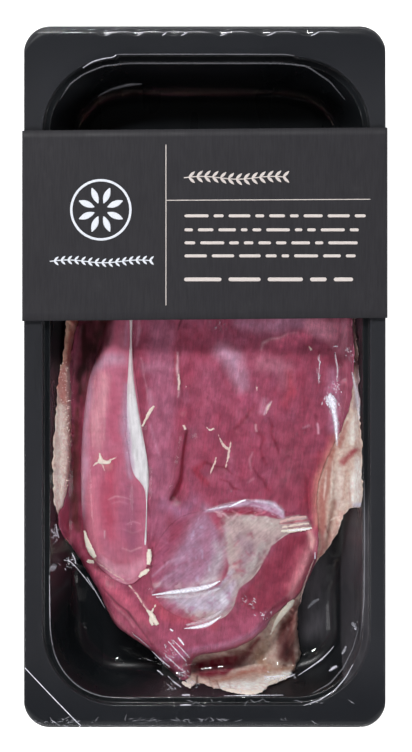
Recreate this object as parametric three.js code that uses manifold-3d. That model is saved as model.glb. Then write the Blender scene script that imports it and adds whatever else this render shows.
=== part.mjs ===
// Duck breast in its retail pack: a black plastic tray, a raw breast lying skin side down in it, a clear film
// drawn tight over both, and a card sleeve round the middle. The breast is the main muscle, the inner fillet
// with its white tendon, a patch of silverskin with fat, and the layer of skin and fat that runs under it all.
// Units are millimetres, +Z is up and +Y is the sleeve's end. The origin is on the table under the pack's middle.
import * as THREE from "three";
import { mergeVertices } from "three/addons/utils/BufferGeometryUtils.js";
import Module from "manifold-3d";

// Driving dimensions
const GAP = 0.3;
const SLEEVE = { width: 131.2, length: 68.3, card: 0.4, middleY: 54.7, slope: 0.0087, edgeRound: 0.9 };
const TRAY = { width: 129.8, length: 252, height: 28, corner: 9.3, wall: 0.7 };
const CAVITY = { halfX: 58.9, halfY: 116.9, corner: 27, x: 0.6, y: -1 };
const LEDGE = { step: 0.6, inset: 2.7, drop: 1.9, slope: 0.3 };
const WALL_RUN = 7;
const FOOT = { run: 2.8, rise: 2.2 };
const RIB = { y: [-91, 95], length: 56, width: 3 };
const LIP = { width: 2.3, drop: 0.9, scallopDepth: 0.5, scallopRadius: 2.2 };
const SCALLOPS_X = [-36.5, -25, -11.8, 5.8, 20.6, 36.4];
const PEEL_CREASE = { from: [-64, -104.3], to: [-46.9, -123], width: 0.8, height: 0.18 };
const FILM = { thickness: 0.3, middleInsets: [50, 43, 36.5, 30.5, 25, 20, 16], wallSteps: 3 };
const SKIN = { thickness: 3.4, onWall: 1.4, roundEdge: 2.5, flapTop: 14.5 };
const MUSCLE = { top: 17, roundEdge: 9, leastThickness: 0.8 };
const FILLET = { top: 19.2, roundEdge: 8.5, seat: 7, leastThickness: 0.8 };
const TENDON = { thickness: 0.9 };
const SILVERSKIN = { thickness: 0.9, roundEdge: 1.5 };

const TRAY_BOTTOM = SLEEVE.card + GAP;
const FLOOR = TRAY_BOTTOM + TRAY.wall;
const RIM = TRAY.height;
const SLEEVE_UNDERSIDE = RIM + 2 * GAP + FILM.thickness;
const SLEEVE_TOP = SLEEVE_UNDERSIDE + SLEEVE.card;

// Outlines seen from above, each through the few points that its shape needs
const SKIN_OUTLINE = [
  [-1.7, 78.2], [-23.5, 75.7], [-38, 65.9], [-45.2, 49.6], [-49.5, 25], [-53.6, 2.4], [-54.6, -18],
  [-55.2, -36], [-54.6, -46], [-53.2, -54], [-47.4, -66.4], [-39.4, -80.2], [-31.8, -92.2],
  [-20.2, -101.3], [-13.5, -108.4], [-4, -113], [9, -114.2], [22, -114.2], [31.5, -110.5],
  [34.9, -103.4], [33.8, -95.5], [34.5, -86.4], [36.7, -76.6], [40.7, -66.4], [49, -57.2],
  [51.8, -50.5], [54.9, -47.6], [55.6, -40], [55.6, -19.3], [55, 9.7], [52.3, 35.1], [45.4, 50.3],
  [32.4, 64.1], [15.3, 74.2],
];
const MUSCLE_OUTLINE = [
  [-1.7, 75.7], [-19.9, 72.8], [-33.6, 62.3], [-40.9, 46], [-44.4, 27.8], [-47.4, 8], [-49.2, -26],
  [-50.6, -43.5], [-51.4, -54], [-45.4, -65.1], [-37.6, -78.6], [-30, -90.5], [-18.6, -99.6],
  [-11, -107], [-6.8, -109], [-4.2, -105.6], [2.3, -100.9], [16.4, -95.5], [24.4, -87.5], [33.1, -81],
  [38, -73.5], [40.4, -65], [40.8, -55.6], [41.6, -43], [44.7, -32], [50.3, -21.3], [53.4, -10],
  [54, 9.7], [50.9, 35.1], [43.6, 49.6], [30.9, 62.3], [14.6, 72.1],
];
const FILLET_OUTLINE = [
  [-19.9, 65.9], [-27.8, 58.7], [-32.5, 45], [-35, 25], [-38.4, 11], [-42.2, -1.2], [-44.6, -20],
  [-45.2, -40], [-43.9, -56], [-41.4, -65.5], [-35.5, -71.8], [-26, -75.4], [-21.6, -71.8],
  [-20.4, -65.7], [-21.4, -56], [-21, -43], [-21, -30.5], [-23.8, -10], [-26.2, 9], [-26, 30],
  [-23, 49.6], [-19, 60],
];
const TENDON_OUTLINE = [
  [-27.2, 33], [-27.5, 15], [-27.3, -8.4], [-26, -27.5], [-23.4, -37], [-21.9, -42], [-21.9, -61.5],
  [-21.1, -61.5], [-20.8, -43], [-20, -37.4], [-20.9, -29.5], [-24.2, -8.4], [-25.9, 10], [-26.4, 33],
];
const SILVERSKIN_OUTLINE = [
  [-9, -51], [1.9, -48], [9.5, -45.8], [17.1, -45.6], [24.4, -46.6], [30.5, -49.4], [37.4, -50.6],
  [38.7, -54.4], [31, -56.8], [25, -61], [21.8, -66.8], [17.6, -72.8], [12.6, -77.4], [9.9, -84.4],
  [5.5, -88], [-4, -88.6], [-12.4, -85.6], [-18, -79.6], [-19.6, -70.5], [-17.4, -60.5],
];

// Folds and cuts in the meat, each a path on its surface with a depth and a half width
const CREASES = [
  { path: [[-9.4, 30], [-9.2, 9], [-8.6, -12]], depth: 0.6, width: 2 },
  { path: [[-6.4, -21], [-7.8, -30.5], [-10.9, -43.5]], depth: 1.8, width: 2.2 },
  { path: [[11, 6], [9, -24], [3, -34]], depth: 0.8, width: 3 },
  { path: [[30, -30], [24, -40], [26, -46]], depth: 1.2, width: 3.5 },
  { path: [[-45, -70], [-35, -84], [-22, -94]], depth: 1.2, width: 2.2 },
  { path: [[-18, -77], [-6, -77.6], [6, -74.5]], depth: -1.1, width: 2.2 },
  { path: [[22, -64], [18, -75], [12, -87]], depth: 1.1, width: 2.5 },
];
// Ridges of skin and fat that stand beside the meat on the right, as the creases are given
const SKIN_RIDGES = [
  { path: [[46, -26], [44.8, -40], [43.6, -58]], depth: -1.6, width: 1.6 },
  { path: [[52, -20], [53, -34], [51, -47]], depth: -1.4, width: 1.8 },
  { path: [[36, -84], [31, -94], [27, -104]], depth: -3.4, width: 3.4 },
  { path: [[-6, -112], [10, -113], [26, -111]], depth: -0.8, width: 2 },
];

const clamp01 = (t) => Math.min(1, Math.max(0, t));
const mix = (a, b, t) => a + (b - a) * t;

// 0 at a and 1 at b, with level ends; a may be the larger
function ease(a, b, value) {
  const t = clamp01((value - a) / (b - a));
  return t * t * (3 - 2 * t);
}

// A quarter circle's rise: 0 at the edge and 1 from radius inwards
function roundedEdge(distance, radius) {
  const t = 1 - clamp01(distance / radius);
  return Math.sqrt(1 - t * t);
}

function smoothOutline(points, steps = 150) {
  const vectors = points.map(([x, y]) => new THREE.Vector3(x, y, 0));
  const curve = new THREE.CatmullRomCurve3(vectors, true, "centripetal");
  return curve.getPoints(steps).slice(0, steps).map((p) => [p.x, p.y]);
}

function distanceToSegment(x, y, [ax, ay], [bx, by]) {
  const [dx, dy] = [bx - ax, by - ay];
  const t = clamp01(((x - ax) * dx + (y - ay) * dy) / (dx * dx + dy * dy || 1));
  return Math.hypot(x - ax - dx * t, y - ay - dy * t);
}

// Distance to an outline, positive inside it
function insideBy(outline, x, y) {
  let inside = false;
  let nearest = Infinity;
  outline.forEach((a, i) => {
    const b = outline[(i + 1) % outline.length];
    nearest = Math.min(nearest, distanceToSegment(x, y, a, b));
    if (a[1] > y !== b[1] > y && x < ((b[0] - a[0]) * (y - a[1])) / (b[1] - a[1]) + a[0]) inside = !inside;
  });
  return inside ? nearest : -nearest;
}

function distanceToPath(path, x, y) {
  const legs = path.slice(1).map((end, i) => distanceToSegment(x, y, path[i], end));
  return Math.min(...legs);
}

// How far the creases lower a surface at a point; a negative depth raises it
function creased(creases, x, y) {
  return creases.reduce((sum, { path, depth, width }) => {
    const reach = distanceToPath(path, x, y) / width;
    return sum + depth * Math.exp(-reach * reach);
  }, 0);
}

const outlines = {
  skin: smoothOutline(SKIN_OUTLINE),
  muscle: smoothOutline(MUSCLE_OUTLINE),
  fillet: smoothOutline(FILLET_OUTLINE),
  tendon: smoothOutline(TENDON_OUTLINE),
  silverskin: smoothOutline(SILVERSKIN_OUTLINE),
};

// The tray's inner surface, from the cavity's upper edge inwards: distance in, height
const INNER_PROFILE = [
  [0, RIM],
  [LEDGE.step, RIM - LEDGE.drop],
  [LEDGE.inset, RIM - LEDGE.drop - LEDGE.slope],
  [LEDGE.inset + WALL_RUN, FLOOR + FOOT.rise],
  [LEDGE.inset + WALL_RUN + FOOT.run, FLOOR],
];

function trayTop(x, y) {
  const qx = Math.abs(x - CAVITY.x) - CAVITY.halfX + CAVITY.corner;
  const qy = Math.abs(y - CAVITY.y) - CAVITY.halfY + CAVITY.corner;
  const outside = Math.hypot(Math.max(qx, 0), Math.max(qy, 0)) + Math.min(Math.max(qx, qy), 0);
  const depthIn = CAVITY.corner - outside;
  if (depthIn <= 0) return RIM;
  for (let i = 1; i < INNER_PROFILE.length; i++) {
    const [[d0, z0], [d1, z1]] = [INNER_PROFILE[i - 1], INNER_PROFILE[i]];
    if (depthIn < d1) return mix(z0, z1, (depthIn - d0) / (d1 - d0));
  }
  return FLOOR;
}

// Upper and lower surfaces of each layer of the meat
const skinBottom = (x, y) => trayTop(x, y) + 2 * GAP;

function skinTop(x, y) {
  const tray = trayTop(x, y);
  const onRightWall = ease(45, 50, x) * ease(4, 12, tray);
  const thickness = mix(SKIN.thickness, SKIN.onWall, onRightWall);
  const sheet = tray + thickness * mix(0.5, 1, roundedEdge(insideBy(outlines.skin, x, y), SKIN.roundEdge));
  const beside = ease(0.6, 4, -insideBy(outlines.muscle, x, y));
  const flap = ease(38, 43, x) * ease(-72, -60, y) * ease(-12, -24, y);
  const raised = mix(sheet, Math.max(sheet, SKIN.flapTop), flap * beside);
  return Math.max(raised - creased(SKIN_RIDGES, x, y) * beside, skinBottom(x, y) + 1);
}

const muscleBottom = (x, y) => skinTop(x, y) + 2 * GAP;

function muscleTop(x, y) {
  const besideFillet = ease(-28, -40, x) * ease(-80, -66, y);
  const underFillet = FILLET.seat * ease(0, 6, insideBy(outlines.fillet, x, y)) * (1 - besideFillet);
  const rightSide = 1.5 * ease(20, 40, x) - 2.5 * ease(44, 54, x);
  const lowerEnd = 2.5 * ease(-78, -104, y);
  const upperEnd = 4 * ease(50, 76, y);
  const level = mix(MUSCLE.top, 9.5, besideFillet) - underFillet - rightSide - lowerEnd - upperEnd;
  const bottom = muscleBottom(x, y);
  const rise = roundedEdge(insideBy(outlines.muscle, x, y), MUSCLE.roundEdge);
  const shaped = mix(bottom, level - creased(CREASES, x, y), rise);
  return Math.max(shaped, bottom + MUSCLE.leastThickness);
}

const filletBottom = (x, y) => muscleTop(x, y) + 2 * GAP;

function filletTop(x, y) {
  const bottom = filletBottom(x, y);
  const ends = 3 * ease(40, 66, y) + 3 * ease(-60, -76, y);
  const rise = roundedEdge(insideBy(outlines.fillet, x, y), FILLET.roundEdge);
  return Math.max(mix(bottom, FILLET.top - ends, rise), bottom + FILLET.leastThickness);
}

// The top of what lies below a thin piece: the muscle, and the fillet where it is
function meatTop(x, y) {
  return insideBy(outlines.fillet, x, y) > -0.3 ? Math.max(muscleTop(x, y), filletTop(x, y)) : muscleTop(x, y);
}

const NEAR = [[0, 0], [1, 0], [-1, 0], [0, 1], [0, -1], [0.7, 0.7], [-0.7, 0.7], [0.7, -0.7], [-0.7, -0.7]];

// The highest value of a surface within a distance of a point
function highestNear(surface, reach, x, y) {
  return Math.max(...NEAR.map(([dx, dy]) => surface(x + reach * dx, y + reach * dy)));
}

const tendonBottom = (x, y) => highestNear(meatTop, 1.2, x, y) + GAP;
const tendonTop = (x, y) => tendonBottom(x, y) + TENDON.thickness;
const silverskinBottom = (x, y) => highestNear(muscleTop, 1.5, x, y) + GAP;

function silverskinTop(x, y) {
  const rise = roundedEdge(insideBy(outlines.silverskin, x, y), SILVERSKIN.roundEdge);
  return silverskinBottom(x, y) + SILVERSKIN.thickness * mix(0.5, 1, rise);
}

function geometryOf(vertices, triangles) {
  const geometry = new THREE.BufferGeometry();
  geometry.setAttribute("position", new THREE.Float32BufferAttribute(vertices.flat(), 3));
  geometry.setIndex(triangles.flat());
  geometry.computeVertexNormals();
  return geometry;
}

// Where a level line crosses an outline, from its left side to its right
function acrossAt(outline, y) {
  const crossings = [];
  outline.forEach((a, i) => {
    const b = outline[(i + 1) % outline.length];
    if (a[1] > y !== b[1] > y) crossings.push(a[0] + ((b[0] - a[0]) * (y - a[1])) / (b[1] - a[1]));
  });
  return [Math.min(...crossings), Math.max(...crossings)];
}

// A closed solid over an outline, between two surfaces, in rows along Y with points closer together near the edge
function slab(outline, rows, columns, top, bottom) {
  const ys = outline.map((p) => p[1]);
  const [low, high] = [Math.min(...ys), Math.max(...ys)];
  const end = 0.25;
  const spread = (i, count) => (i / count + (1 - Math.cos((Math.PI * i) / count)) / 2) / 2;
  const vertices = [];
  for (const surface of [top, bottom])
    for (let r = 0; r <= rows; r++) {
      const y = mix(low + end, high - end, spread(r, rows));
      const [left, right] = acrossAt(outline, y);
      for (let c = 0; c <= columns; c++) {
        const x = mix(left, right, spread(c, columns));
        vertices.push([x, y, surface(x, y)]);
      }
    }
  const layer = (rows + 1) * (columns + 1);
  const at = (r, c, s) => s * layer + r * (columns + 1) + c;
  const triangles = [];
  const quad = (a, b, c, d) => triangles.push([a, b, c], [a, c, d]);
  for (let r = 0; r < rows; r++)
    for (let c = 0; c < columns; c++) {
      quad(at(r, c, 0), at(r, c + 1, 0), at(r + 1, c + 1, 0), at(r + 1, c, 0));
      quad(at(r, c, 1), at(r + 1, c, 1), at(r + 1, c + 1, 1), at(r, c + 1, 1));
    }
  for (let r = 0; r < rows; r++) {
    quad(at(r, 0, 0), at(r + 1, 0, 0), at(r + 1, 0, 1), at(r, 0, 1));
    quad(at(r, columns, 1), at(r + 1, columns, 1), at(r + 1, columns, 0), at(r, columns, 0));
  }
  for (let c = 0; c < columns; c++) {
    quad(at(0, c, 1), at(0, c + 1, 1), at(0, c + 1, 0), at(0, c, 0));
    quad(at(rows, c, 0), at(rows, c + 1, 0), at(rows, c + 1, 1), at(rows, c, 1));
  }
  return geometryOf(vertices, triangles);
}

const wasm = await Module();
wasm.setup();

function toManifold(geometry) {
  const bare = geometry.clone();
  bare.deleteAttribute("normal");
  bare.deleteAttribute("uv");
  const merged = mergeVertices(bare, 1e-4);
  const vertProperties = merged.attributes.position.array;
  return new wasm.Manifold(new wasm.Mesh({ numProp: 3, vertProperties, triVerts: new Uint32Array(merged.index.array) }));
}

function fromManifold(solid) {
  const { numProp, numVert, vertProperties, triVerts } = solid.getMesh();
  const vertices = [];
  for (let i = 0; i < numVert; i++) vertices.push([...vertProperties.subarray(i * numProp, i * numProp + 3)]);
  return geometryOf(vertices, [[...triVerts]]);
}

// What is left of a solid once what lies below it is cut away, as its one largest piece
function restingOn(geometry, ...below) {
  const rest = below.reduce((solid, other) => solid.subtract(toManifold(other)), toManifold(geometry));
  const pieces = rest.decompose().sort((a, b) => b.volume() - a.volume());
  return fromManifold(pieces[0]);
}

// A rounded rectangle as one loop of points, with the same count whatever its size, so that loops join up
function loop(halfX, halfY, radius, middle, z, sideSteps, endSteps) {
  const cornerSteps = 7;
  const [mx, my] = middle;
  const corners = [[1, 1], [-1, 1], [-1, -1], [1, -1]];
  const points = [];
  corners.forEach(([sx, sy], k) => {
    for (let i = 0; i <= cornerSteps; i++) {
      const angle = (Math.PI / 2) * (k + i / cornerSteps);
      const x = mx + sx * (halfX - radius) + radius * Math.cos(angle);
      const y = my + sy * (halfY - radius) + radius * Math.sin(angle);
      points.push([x, y, z]);
    }
    const [x, y] = points[points.length - 1];
    const [nx, ny] = corners[(k + 1) % 4];
    const alongEnd = k % 2 === 0;
    const nextX = alongEnd ? mx + nx * (halfX - radius) : x;
    const nextY = alongEnd ? y : my + ny * (halfY - radius);
    const steps = alongEnd ? endSteps : sideSteps;
    for (let i = 1; i < steps; i++) points.push([mix(x, nextX, i / steps), mix(y, nextY, i / steps), z]);
  });
  return points;
}

// The triangles between neighbouring loops, each loop's points numbered after the loop's before
function trianglesBetween(loopCount, count) {
  const triangles = [];
  for (let k = 0; k + 1 < loopCount; k++)
    for (let i = 0; i < count; i++) {
      const j = (i + 1) % count;
      const [a, b, c, d] = [k * count + i, (k + 1) * count + i, (k + 1) * count + j, k * count + j];
      triangles.push([a, b, c], [a, c, d]);
    }
  return triangles;
}

const apart = (a, b) => a.some((value, axis) => Math.abs(value - b[axis]) > 1e-6);

// A sheet with the given lower face, through loops of which the first has no width
function sheetThrough(loops, thickness) {
  const count = loops[0].length;
  const lower = loops.flat();
  const whole = trianglesBetween(loops.length, count).filter(([a, b, c]) =>
    [[a, b], [b, c], [c, a]].every(([p, q]) => apart(lower[p], lower[q])));
  const upper = lower.map(([x, y, z]) => [x, y, z + thickness]);
  const triangles = [...whole, ...whole.map((corners) => corners.map((v) => v + lower.length).reverse())];
  const edge = lower.length - count;
  for (let i = 0; i < count; i++) {
    const j = (i + 1) % count;
    const [a, b] = [edge + i, edge + j];
    triangles.push([a, a + lower.length, b + lower.length], [a, b + lower.length, b]);
  }
  return geometryOf([...upper, ...lower], triangles);
}

// A closed shell through loops that run from the middle of the top, out over the edge and back underneath
function shellThrough(loops) {
  const count = loops[0].length;
  const vertices = loops.flat();
  const triangles = trianglesBetween(loops.length, count);
  for (const [k, upwards] of [[0, true], [loops.length - 1, false]]) {
    const centre = vertices.length;
    vertices.push([0, 1, 2].map((axis) => loops[k].reduce((sum, p) => sum + p[axis], 0) / count));
    for (let i = 0; i < count; i++) {
      const [a, b] = [k * count + i, k * count + ((i + 1) % count)];
      triangles.push(upwards ? [centre, a, b] : [centre, b, a]);
    }
  }
  return geometryOf(vertices, triangles);
}

// A loop at a distance inside the cavity's upper edge
function cavityLoop(inset, z, sideSteps, endSteps) {
  const radius = Math.max(CAVITY.corner - inset, Math.min(1.5, CAVITY.halfX - inset));
  return loop(CAVITY.halfX - inset, CAVITY.halfY - inset, radius, [CAVITY.x, CAVITY.y], z, sideSteps, endSteps);
}

// The flange's outer loops: the line where its ends turn down, then its edge
function flangeLoops(lift, inset, sideSteps, endSteps) {
  const [halfX, halfY] = [TRAY.width / 2 - inset, TRAY.length / 2 - inset];
  const radius = TRAY.corner - inset;
  const crease = loop(halfX - 0.5, halfY - LIP.width, radius, [0, 0], RIM + lift, sideSteps, endSteps);
  const edge = loop(halfX, halfY, radius, [0, 0], RIM + lift, sideSteps, endSteps);
  const lowered = (y) => LIP.drop * clamp01((Math.abs(y) - halfY + LIP.width) / LIP.width);
  return [crease, edge.map(([x, y, z]) => [x, y, z - lowered(y)])];
}

function trayGeometry() {
  const steps = [2, 2];
  const inner = INNER_PROFILE.map(([inset, z]) => cavityLoop(inset, z, ...steps));
  const outer = INNER_PROFILE.map(([inset, z], i) => {
    const onFloor = i === INNER_PROFILE.length - 1;
    return cavityLoop(onFloor ? inset : inset - TRAY.wall, z - TRAY.wall, ...steps);
  });
  const [crease, edge] = flangeLoops(0, 0, ...steps);
  const [creaseUnder, edgeUnder] = flangeLoops(-TRAY.wall, 0, ...steps);
  let tray = toManifold(shellThrough([...inner.reverse(), crease, edge, edgeUnder, creaseUnder, ...outer]));
  for (const x of SCALLOPS_X) {
    const dent = new THREE.SphereGeometry(LIP.scallopRadius, 10, 7);
    dent.translate(x, TRAY.length / 2 - LIP.width, RIM + LIP.scallopRadius - LIP.scallopDepth);
    tray = tray.subtract(toManifold(dent));
  }
  for (const y of RIB.y) {
    const height = TRAY_BOTTOM + TRAY.wall / 2;
    const rib = new THREE.BoxGeometry(RIB.length, RIB.width, height);
    rib.translate(CAVITY.x, y, height / 2);
    tray = tray.add(toManifold(rib));
  }
  return fromManifold(tray.add(toManifold(peelCrease())));
}

// The raised crease across the corner from which the film is peeled
function peelCrease() {
  const { from, to, width, height } = PEEL_CREASE;
  const [dx, dy] = [to[0] - from[0], to[1] - from[1]];
  const corners = [[-width / 2, -height], [width / 2, -height], [0, height]];
  const section = new THREE.Shape(corners.map((p) => new THREE.Vector2(...p)));
  const rib = new THREE.ExtrudeGeometry(section, { depth: Math.hypot(dx, dy), bevelEnabled: false });
  rib.rotateX(Math.PI / 2);
  rib.rotateZ(Math.atan2(dy, dx) + Math.PI / 2);
  rib.translate(from[0], from[1], RIM);
  return rib;
}

// A point's weights of the three corners of a triangle seen from above, or nothing when it is outside
function weightsIn([a, b, c], x, y) {
  const area = (b[0] - a[0]) * (c[1] - a[1]) - (c[0] - a[0]) * (b[1] - a[1]);
  if (Math.abs(area) < 1e-6) return null;
  const second = ((x - a[0]) * (c[1] - a[1]) - (c[0] - a[0]) * (y - a[1])) / area;
  const third = ((b[0] - a[0]) * (y - a[1]) - (x - a[0]) * (b[1] - a[1])) / area;
  const weights = [1 - second - third, second, third];
  return Math.min(...weights) < -1e-6 ? null : weights;
}

// Finds the triangles above or below a point
function finder(vertices, triangles) {
  const cell = 5;
  const cells = new Map();
  const named = (x, y) => `${Math.floor(x / cell)},${Math.floor(y / cell)}`;
  for (const corners of triangles) {
    const [xs, ys] = [0, 1].map((axis) => corners.map((v) => vertices[v][axis]));
    const from = (values) => Math.floor(Math.min(...values) / cell) * cell + cell / 2;
    for (let x = from(xs); x < Math.max(...xs) + cell; x += cell)
      for (let y = from(ys); y < Math.max(...ys) + cell; y += cell) {
        const name = named(x, y);
        if (!cells.has(name)) cells.set(name, []);
        cells.get(name).push(corners);
      }
  }
  return (x, y) =>
    (cells.get(named(x, y)) ?? [])
      .map((corners) => ({ corners, weights: weightsIn(corners.map((v) => vertices[v]), x, y) }))
      .filter(({ weights }) => weights);
}

const heightAt = (vertices, { corners, weights }) => corners.reduce((sum, v, i) => sum + weights[i] * vertices[v][2], 0);

function meshOf(geometries) {
  const vertices = [];
  const triangles = [];
  for (const geometry of geometries) {
    const first = vertices.length;
    const { position } = geometry.attributes;
    for (let i = 0; i < position.count; i++) vertices.push([position.getX(i), position.getY(i), position.getZ(i)]);
    const { array } = geometry.index;
    for (let i = 0; i < array.length; i += 3) triangles.push([0, 1, 2].map((j) => first + array[i + j]));
  }
  return { vertices, triangles };
}

// Points all over some triangles
function sampled(vertices, triangles) {
  const parts = 4;
  const shares = [];
  for (let i = 0; i <= parts; i++)
    for (let j = 0; j <= parts - i; j++) shares.push([i / parts, j / parts, (parts - i - j) / parts]);
  const at = (corners, share) => [0, 1].map((axis) => corners.reduce((sum, v, i) => sum + share[i] * vertices[v][axis], 0));
  return triangles.flatMap((corners) => shares.map((share) => at(corners, share)));
}

// Lay a sheet over what is under it: raise its points to the highest that their triangles have to clear,
// then let each one down by part of what it has to spare, so that the sheet clings
function drapeOver(geometries, vertices, triangles, clearance) {
  const below = meshOf(geometries);
  const underneath = finder(below.vertices, below.triangles);
  const overhead = finder(vertices, triangles);
  const uses = new Map(vertices.map((v) => [v, { lowest: v[2], samples: [] }]));
  const samples = [];
  for (const [x, y] of [...sampled(below.vertices, below.triangles), ...sampled(vertices, triangles)]) {
    const least = Math.max(...underneath(x, y).map((hit) => heightAt(below.vertices, hit))) + clearance;
    if (least > FLOOR) samples.push(...overhead(x, y).map((hit) => ({ ...hit, least })));
  }
  for (const sample of samples)
    sample.corners.forEach((v, i) => {
      if (sample.weights[i] > 0.001) uses.get(vertices[v]).samples.push({ sample, weight: sample.weights[i] });
    });
  const spare = (sample) => heightAt(vertices, sample) - sample.least;
  for (const { corners, least } of samples)
    for (const v of corners) vertices[v][2] = Math.max(vertices[v][2], least);
  for (let pass = 0; pass < 25; pass++)
    for (const [point, { lowest, samples }] of uses) {
      const room = samples.map(({ sample, weight }) => spare(sample) / weight);
      point[2] -= 0.3 * Math.max(0, Math.min(point[2] - lowest, ...room));
    }
}

// The film is a sheet over the flange, the tray's lining and the meat, and a second face above it
function filmGeometry(contents) {
  const steps = [20, 9];
  const [[wallInset, wallTop], [footInset, footTop]] = INNER_PROFILE.slice(2, 4);
  const onWall = Array.from({ length: FILM.wallSteps - 1 }, (_, i) => (i + 1) / FILM.wallSteps);
  const wall = onWall.map((t) => [mix(wallInset, footInset, t), mix(wallTop, footTop, t)]);
  const lining = [...INNER_PROFILE.slice(0, 3), ...wall, ...INNER_PROFILE.slice(3)].reverse();
  const clear = GAP + 0.1;
  const seam = cavityLoop(CAVITY.halfX, FLOOR + GAP, ...steps);
  const under = [
    seam.map((p) => seam.find((q) => !apart(p, q))),
    ...FILM.middleInsets.map((inset) => cavityLoop(inset, FLOOR + GAP, ...steps)),
    ...lining.map(([inset, z]) => cavityLoop(inset + clear, z + GAP, ...steps)),
    ...flangeLoops(GAP, clear, ...steps),
  ];
  drapeOver(contents, under.flat(), trianglesBetween(under.length, under[0].length), clear);
  return sheetThrough(under, FILM.thickness);
}

// The sleeve's section is the band that a card makes when it is drawn round the tray
function sleeveGeometry() {
  const section = (inset) => {
    const halfTop = SLEEVE.width / 2 - inset;
    const halfBase = CAVITY.halfX - LEDGE.inset - WALL_RUN + 2.6 - inset;
    const [low, high] = [inset, SLEEVE_TOP - inset];
    const rim = RIM - TRAY.wall - LIP.drop;
    const round = SLEEVE.edgeRound - inset;
    const side = (s) => [
      [s * halfBase, low], [s * halfTop, rim], [s * halfTop, high - round],
      [s * (halfTop - round * 0.3), high - round * 0.3], [s * (halfTop - round), high],
    ];
    return [...side(1), ...side(-1).reverse()].map((p) => new THREE.Vector2(...p));
  };
  const shape = new THREE.Shape(section(0));
  shape.holes.push(new THREE.Path(section(SLEEVE.card).reverse()));
  const band = new THREE.ExtrudeGeometry(shape, { depth: SLEEVE.length, bevelEnabled: false });
  band.rotateX(Math.PI / 2);
  band.translate(0, SLEEVE.middleY + SLEEVE.length / 2, 0);
  const position = band.attributes.position;
  for (let i = 0; i < position.count; i++) position.setY(i, position.getY(i) + SLEEVE.slope * position.getX(i));
  return band;
}

function material(color, roughness, extra = {}) {
  return new THREE.MeshStandardMaterial({ color, roughness, metalness: 0, ...extra });
}

const FINISH = {
  tray: material(0x1f2326, 0.35),
  film: material(0xe9eef2, 0.08, { transparent: true, opacity: 0.18 }),
  sleeve: material(0x3f3f41, 0.6),
  skin: material(0xd6b79c, 0.4),
  muscle: material(0xa1415b, 0.35),
  fillet: material(0xbb5a74, 0.3),
  tendon: material(0xe6dfdc, 0.3),
  silverskin: material(0xb09aa6, 0.3),
};

// Each layer's grid is made once more, raised, to cut the layer above it
const skinGrid = (top, bottom) => slab(outlines.skin, 40, 13, top, bottom);
const muscleGrid = (top, bottom) => slab(outlines.muscle, 40, 16, top, bottom);
const filletGrid = (top, bottom) => slab(outlines.fillet, 30, 7, top, bottom);
const raisedTo = (surface, gap) => (x, y) => surface(x, y) + gap;
const underCut = raisedTo(() => TRAY_BOTTOM, -2);
const belowMuscle = skinGrid(raisedTo(skinTop, 2 * GAP), underCut);
const belowFillet = muscleGrid(raisedTo(muscleTop, 2 * GAP), underCut);
const belowThin = [
  muscleGrid(raisedTo(muscleTop, GAP), underCut),
  filletGrid(raisedTo(filletTop, GAP), underCut),
];

const pack = new THREE.Group();
pack.name = "duck_breast_pack";

function addPiece(name, geometry, finish) {
  const mesh = new THREE.Mesh(geometry, finish);
  mesh.name = name;
  pack.add(mesh);
}

const skin = skinGrid(skinTop, skinBottom);
const muscle = restingOn(muscleGrid(muscleTop, raisedTo(trayTop, 1.2)), belowMuscle);
const fillet = restingOn(filletGrid(filletTop, underCut), belowFillet);
const tendon = restingOn(slab(outlines.tendon, 20, 3, tendonTop, raisedTo(tendonBottom, -3)), ...belowThin);
const patch = slab(outlines.silverskin, 14, 9, silverskinTop, raisedTo(silverskinBottom, -3));
const silverskin = restingOn(patch, ...belowThin);

addPiece("tray", trayGeometry(), FINISH.tray);
addPiece("skin_and_fat", skin, FINISH.skin);
addPiece("breast_muscle", muscle, FINISH.muscle);
addPiece("inner_fillet", fillet, FINISH.fillet);
addPiece("tendon", tendon, FINISH.tendon);
addPiece("silverskin", silverskin, FINISH.silverskin);
addPiece("film", filmGeometry([skin, muscle, fillet, tendon, silverskin]), FINISH.film);
addPiece("card_sleeve", sleeveGeometry(), FINISH.sleeve);

export default pack;
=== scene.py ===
"""Looks for a duck breast sealed in its tray: raw meat under clear film, a black tray and a card sleeve.

Lengths are in millimetres until a mesh is made, in the CAD part's own frame. Places on the meat are given
as they are seen from straight above, in picture points, and marks on it also have a radius in picture points.
"""

import bpy
import numpy as np
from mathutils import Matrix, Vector
from mathutils.geometry import delaunay_2d_cdt


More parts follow.
